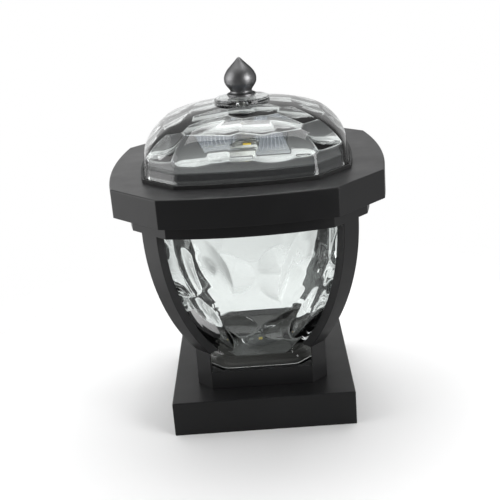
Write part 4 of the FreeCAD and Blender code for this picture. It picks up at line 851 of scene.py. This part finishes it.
class POSTLIGHT_OT_screws(bpy.types.Operator):
    """Make the threaded screws and plate them"""

    bl_idname = "postlight.screws"
    bl_label = "Screws"

    def execute(self, context):
        plate = zinc_plate("bright_zinc")
        for name in SCREW_NODES:
            points, faces, used = [], [], 0
            for index, solid in enumerate(solid_points(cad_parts[name])):
                body, quads = screw_mesh(solid, 0.7 * index)
                points.append(body)
                faces += [tuple(corner + used for corner in quad) for quad in quads]
                used += len(body)
            piece = make_mesh("threaded_" + name, np.concatenate(points), faces)
            finish_piece(piece, plate, [name])
        return {"FINISHED"}


# ---- battery box and small parts

class POSTLIGHT_OT_battery_box(bpy.types.Operator):
    """Finish the battery box, its board, switch, cell and lead"""

    bl_idname = "postlight.battery_box"
    bl_label = "Battery box"

    def execute(self, context):
        paint(["battery_box", "box_cover", "battery_door", "switch_knob"],
              moulded_plastic("grained_abs", "#1a1a1b", 0.9, 0.48))
        paint(["control_board"], solder_mask("green_solder_mask", "#1e5a33", "#3f8a4f"))
        paint(["board_components"], moulded_plastic("epoxy_mould", "#1c1c1e", 0.4, 0.4))
        paint(["battery_cell"], shrink_sleeve("shrink_sleeve", "#2f5f8f"))
        paint(["solar_lead"], moulded_plastic("lead_pvc", "#121213", 0.6, 0.38))
        paint(["plus_contact", "minus_contact", "switch_case", "hinge_pins", "finial_nut",
               "lock_washer"], zinc_plate("zinc_plate", "#d8d9d6"))
        paint(["dome_gasket", "bowl_gasket", "foot_gasket"], vulcanised_rubber("epdm_rubber"))
        paint(["finial_washer"], clear_silicone("clear_silicone"))
        return {"FINISHED"}


# ---- stage

class POSTLIGHT_OT_stage(bpy.types.Operator):
    """Make the floor, the light and the camera"""

    bl_idname = "postlight.stage"
    bl_label = "Stage"

    def execute(self, context):
        make_floor()
        make_world()
        for softbox in SOFTBOXES:
            soft_light(*softbox)
        make_camera()
        return {"FINISHED"}


FLOOR_HOLE, FLOOR_REACH, FLOOR_COLUMNS = 72.0, 420.0, 96
FADE_START, FADE_END = 160.0, 400.0
# the world's light from front to back: where it starts to rise, where it is full, and its least
RISE_START, RISE_END, FRONT_LIGHT = -0.9, 0.35, 0.16
# its falls: axis, where each one starts and ends, the shares of light there, and whether only
# reflections see it
LIGHT_FALLS = (("X", -1.0, -0.25, 1.4, 1.0, False), ("X", 0.05, 0.55, 1.0, 0.62, False),
               ("X", -0.1, 0.16, 1.0, 0.72, True), ("Z", 0.26, 0.5, 1.0, 0.55, True))
THROUGH_SHARE = 0.28        # how far light seen through glass dims towards the front
WHITE = (1.0, 1.0, 1.0, 1.0)
# name, place, width and height in metres, and power in watts
SOFTBOXES = (("left_softbox", (-1.5, -0.25, 0.75), 1.1, 1.5, 7.5),
             ("right_softbox", (1.25, -0.9, 0.55), 0.8, 1.3, 17.0),
             ("top_softbox", (0.1, 0.5, 1.6), 1.4, 1.0, 12.0))
OBJECT_MIDDLE = (0, 0, 0.14)                # metres
CAMERA_PLACE = (14.122, -758.596, 405.584)
CAMERA_TURNS = (-1.306, 19.913, -4.611)     # degrees to the side, downwards, and of roll
FOCAL_PIXELS, PICTURE_PIXELS, SENSOR_WIDTH = 948.358, 500, 36.0


def make_floor():
    """Pale round table that keeps the object's shadow and fades into the backdrop.

    It has a hole under the base, and it can't be seen from below, so that the underside shows.
    """
    angles = np.linspace(0, 2 * math.pi, FLOOR_COLUMNS, endpoint=False)
    square = FLOOR_HOLE / np.maximum(np.abs(np.cos(angles)), np.abs(np.sin(angles)))
    rings = [ring_points(angles, reach, 0.0) for reach in (FLOOR_REACH, square)]
    floor = make_mesh("floor", np.concatenate(rings), ring_faces(2, FLOOR_COLUMNS), smooth=False)
    material, tree, place = new_material("white_paper_floor")
    reach = add(tree, "VectorMath", {0: place}, operation="LENGTH")
    fade = add(tree, "MapRange", {"Value": reach.outputs["Value"]},
               {"From Min": FADE_START * MM, "From Max": FADE_END * MM},
               interpolation_type="SMOOTHSTEP")
    # the eye sees a paler paper than the one that lights the object from below
    path = add(tree, "LightPath")
    seen = add(tree, "Math", {0: path.outputs["Is Camera Ray"],
                              1: path.outputs["Is Transmission Ray"]}, operation="MAXIMUM")
    tone = add(tree, "Mix", {0: seen}, {6: linear("#a8a8a8"), 7: linear("#f6f6f6")},
               data_type="RGBA")
    paper = add(tree, "BsdfDiffuse", {"Color": tone.outputs[2]})
    back = add(tree, "NewGeometry").outputs["Backfacing"]
    gone = add(tree, "Math", {0: fade, 1: back}, operation="MAXIMUM")
    mixed = add(tree, "MixShader", {0: gone, 1: paper, 2: add(tree, "BsdfTransparent")})
    floor.data.materials.append(surfaced(material, mixed))


def make_world():
    """White to the eye; as light it is bright behind and on the left, and dim in front.

    Reflections also see it fall off to the right and upwards, as a room does beside a window.
    What is seen through the glass stays bright on every side.
    """
    world = bpy.data.worlds.new("studio")
    bpy.context.scene.world = world
    world.use_nodes = True
    tree = world.node_tree
    tree.nodes.clear()
    way = add(tree, "TexCoord").outputs["Generated"]
    parts = add(tree, "SeparateXYZ", {"Vector": way})
    depth = add(tree, "MapRange", {"Value": parts.outputs["Y"]},
                {"From Min": RISE_START, "From Max": RISE_END, "To Min": FRONT_LIGHT},
                interpolation_type="SMOOTHSTEP")
    path = add(tree, "LightPath")
    through = add(tree, "Math", {0: depth}, {1: THROUGH_SHARE, 2: 1 - THROUGH_SHARE},
                  operation="MULTIPLY_ADD")
    strength = add(tree, "Mix", {0: path.outputs["Is Transmission Ray"], 2: depth, 3: through},
                   data_type="FLOAT")
    for axis, start, end, low, high, glossy in LIGHT_FALLS:
        fall = add(tree, "MapRange", {"Value": parts.outputs[axis]},
                   {"From Min": start, "From Max": end, "To Min": low, "To Max": high},
                   interpolation_type="SMOOTHSTEP")
        if glossy:
            fall = add(tree, "Mix", {0: path.outputs["Is Glossy Ray"], 3: fall}, {2: 1.0},
                       data_type="FLOAT")
        strength = add(tree, "Math", {0: strength, 1: fall}, operation="MULTIPLY")
    light = add(tree, "Background", {"Strength": strength}, {"Color": WHITE})
    white = add(tree, "Background", None, {"Color": WHITE, "Strength": 1.0})
    mixed = add(tree, "MixShader", {0: path.outputs["Is Camera Ray"], 1: light, 2: white})
    output = add(tree, "OutputWorld", {"Surface": mixed})
    output.is_active_output = True


def soft_light(name, place, width, height, power):
    """Rectangular softbox that faces the object's middle and isn't seen itself."""
    lamp = bpy.data.lights.new(name, "AREA")
    lamp.shape = "RECTANGLE"
    lamp.size, lamp.size_y, lamp.energy = width, height, power
    holder = bpy.data.objects.new(name, lamp)
    holder.location = place
    holder.visible_camera = False
    aim = Vector(OBJECT_MIDDLE) - Vector(place)
    holder.rotation_euler = aim.to_track_quat("-Z", "Y").to_euler()
    bpy.context.scene.collection.objects.link(holder)


def make_camera():
    """Camera at the photograph's place, with its lens and slight roll."""
    yaw, pitch, roll = (math.radians(turn) for turn in CAMERA_TURNS)
    forward = Vector((math.sin(yaw) * math.cos(pitch), math.cos(yaw) * math.cos(pitch),
                      -math.sin(pitch)))
    right = Vector((math.cos(yaw), -math.sin(yaw), 0))
    upwards = right.cross(forward)
    right_rolled = math.cos(roll) * right + math.sin(roll) * upwards
    up_rolled = -math.sin(roll) * right + math.cos(roll) * upwards
    camera = bpy.data.cameras.new("camera")
    camera.sensor_width = SENSOR_WIDTH
    camera.lens = FOCAL_PIXELS / PICTURE_PIXELS * SENSOR_WIDTH
    camera.clip_start, camera.clip_end = 0.05, 20
    holder = bpy.data.objects.new("camera", camera)
    turn = Matrix((right_rolled, up_rolled, -forward)).transposed().to_4x4()
    holder.matrix_world = Matrix.Translation(Vector(CAMERA_PLACE) * MM) @ turn
    bpy.context.scene.collection.objects.link(holder)
    bpy.context.scene.camera = holder


# ---- panel and registration

PIECE_OPERATORS = (
    POSTLIGHT_OT_metalwork, POSTLIGHT_OT_glass_dome, POSTLIGHT_OT_glass_bowl,
    POSTLIGHT_OT_solar_deck, POSTLIGHT_OT_screws, POSTLIGHT_OT_battery_box, POSTLIGHT_OT_stage,
)


class POSTLIGHT_PT_panel(bpy.types.Panel):
    """Lists the steps that make the light"""

    bl_idname = "POSTLIGHT_PT_panel"
    bl_label = "Post cap light"
    bl_space_type = "VIEW_3D"
    bl_region_type = "UI"
    bl_category = "Post Light"

    def draw(self, context):
        for settings in SETTINGS:
            group = getattr(context.scene, settings)
            for name in group.bl_rna.properties.keys():
                if name not in ("rna_type", "name"):
                    self.layout.prop(group, name)
        for operator in PIECE_OPERATORS:
            self.layout.operator(operator.bl_idname)


SETTINGS = {"postlight_glass": GlassSettings, "postlight_metal": MetalSettings,
            "postlight_light": LightSettings}
CLASSES = (*SETTINGS.values(), *PIECE_OPERATORS, POSTLIGHT_PT_panel)


def register():
    for one in CLASSES:
        bpy.utils.register_class(one)
    for name, group in SETTINGS.items():
        setattr(bpy.types.Scene, name, bpy.props.PointerProperty(type=group))


def unregister():
    for name in SETTINGS:
        delattr(bpy.types.Scene, name)
    for one in reversed(CLASSES):
        bpy.utils.unregister_class(one)


def main():
    register()
    bpy.ops.postlight.metalwork()
    bpy.ops.postlight.glass_dome()
    bpy.ops.postlight.glass_bowl()
    bpy.ops.postlight.solar_deck()
    bpy.ops.postlight.screws()
    bpy.ops.postlight.battery_box()
    bpy.ops.postlight.stage()
    scene = bpy.context.scene
    scene.view_settings.view_transform = "Standard"


if __name__ == "__main__":
    main()
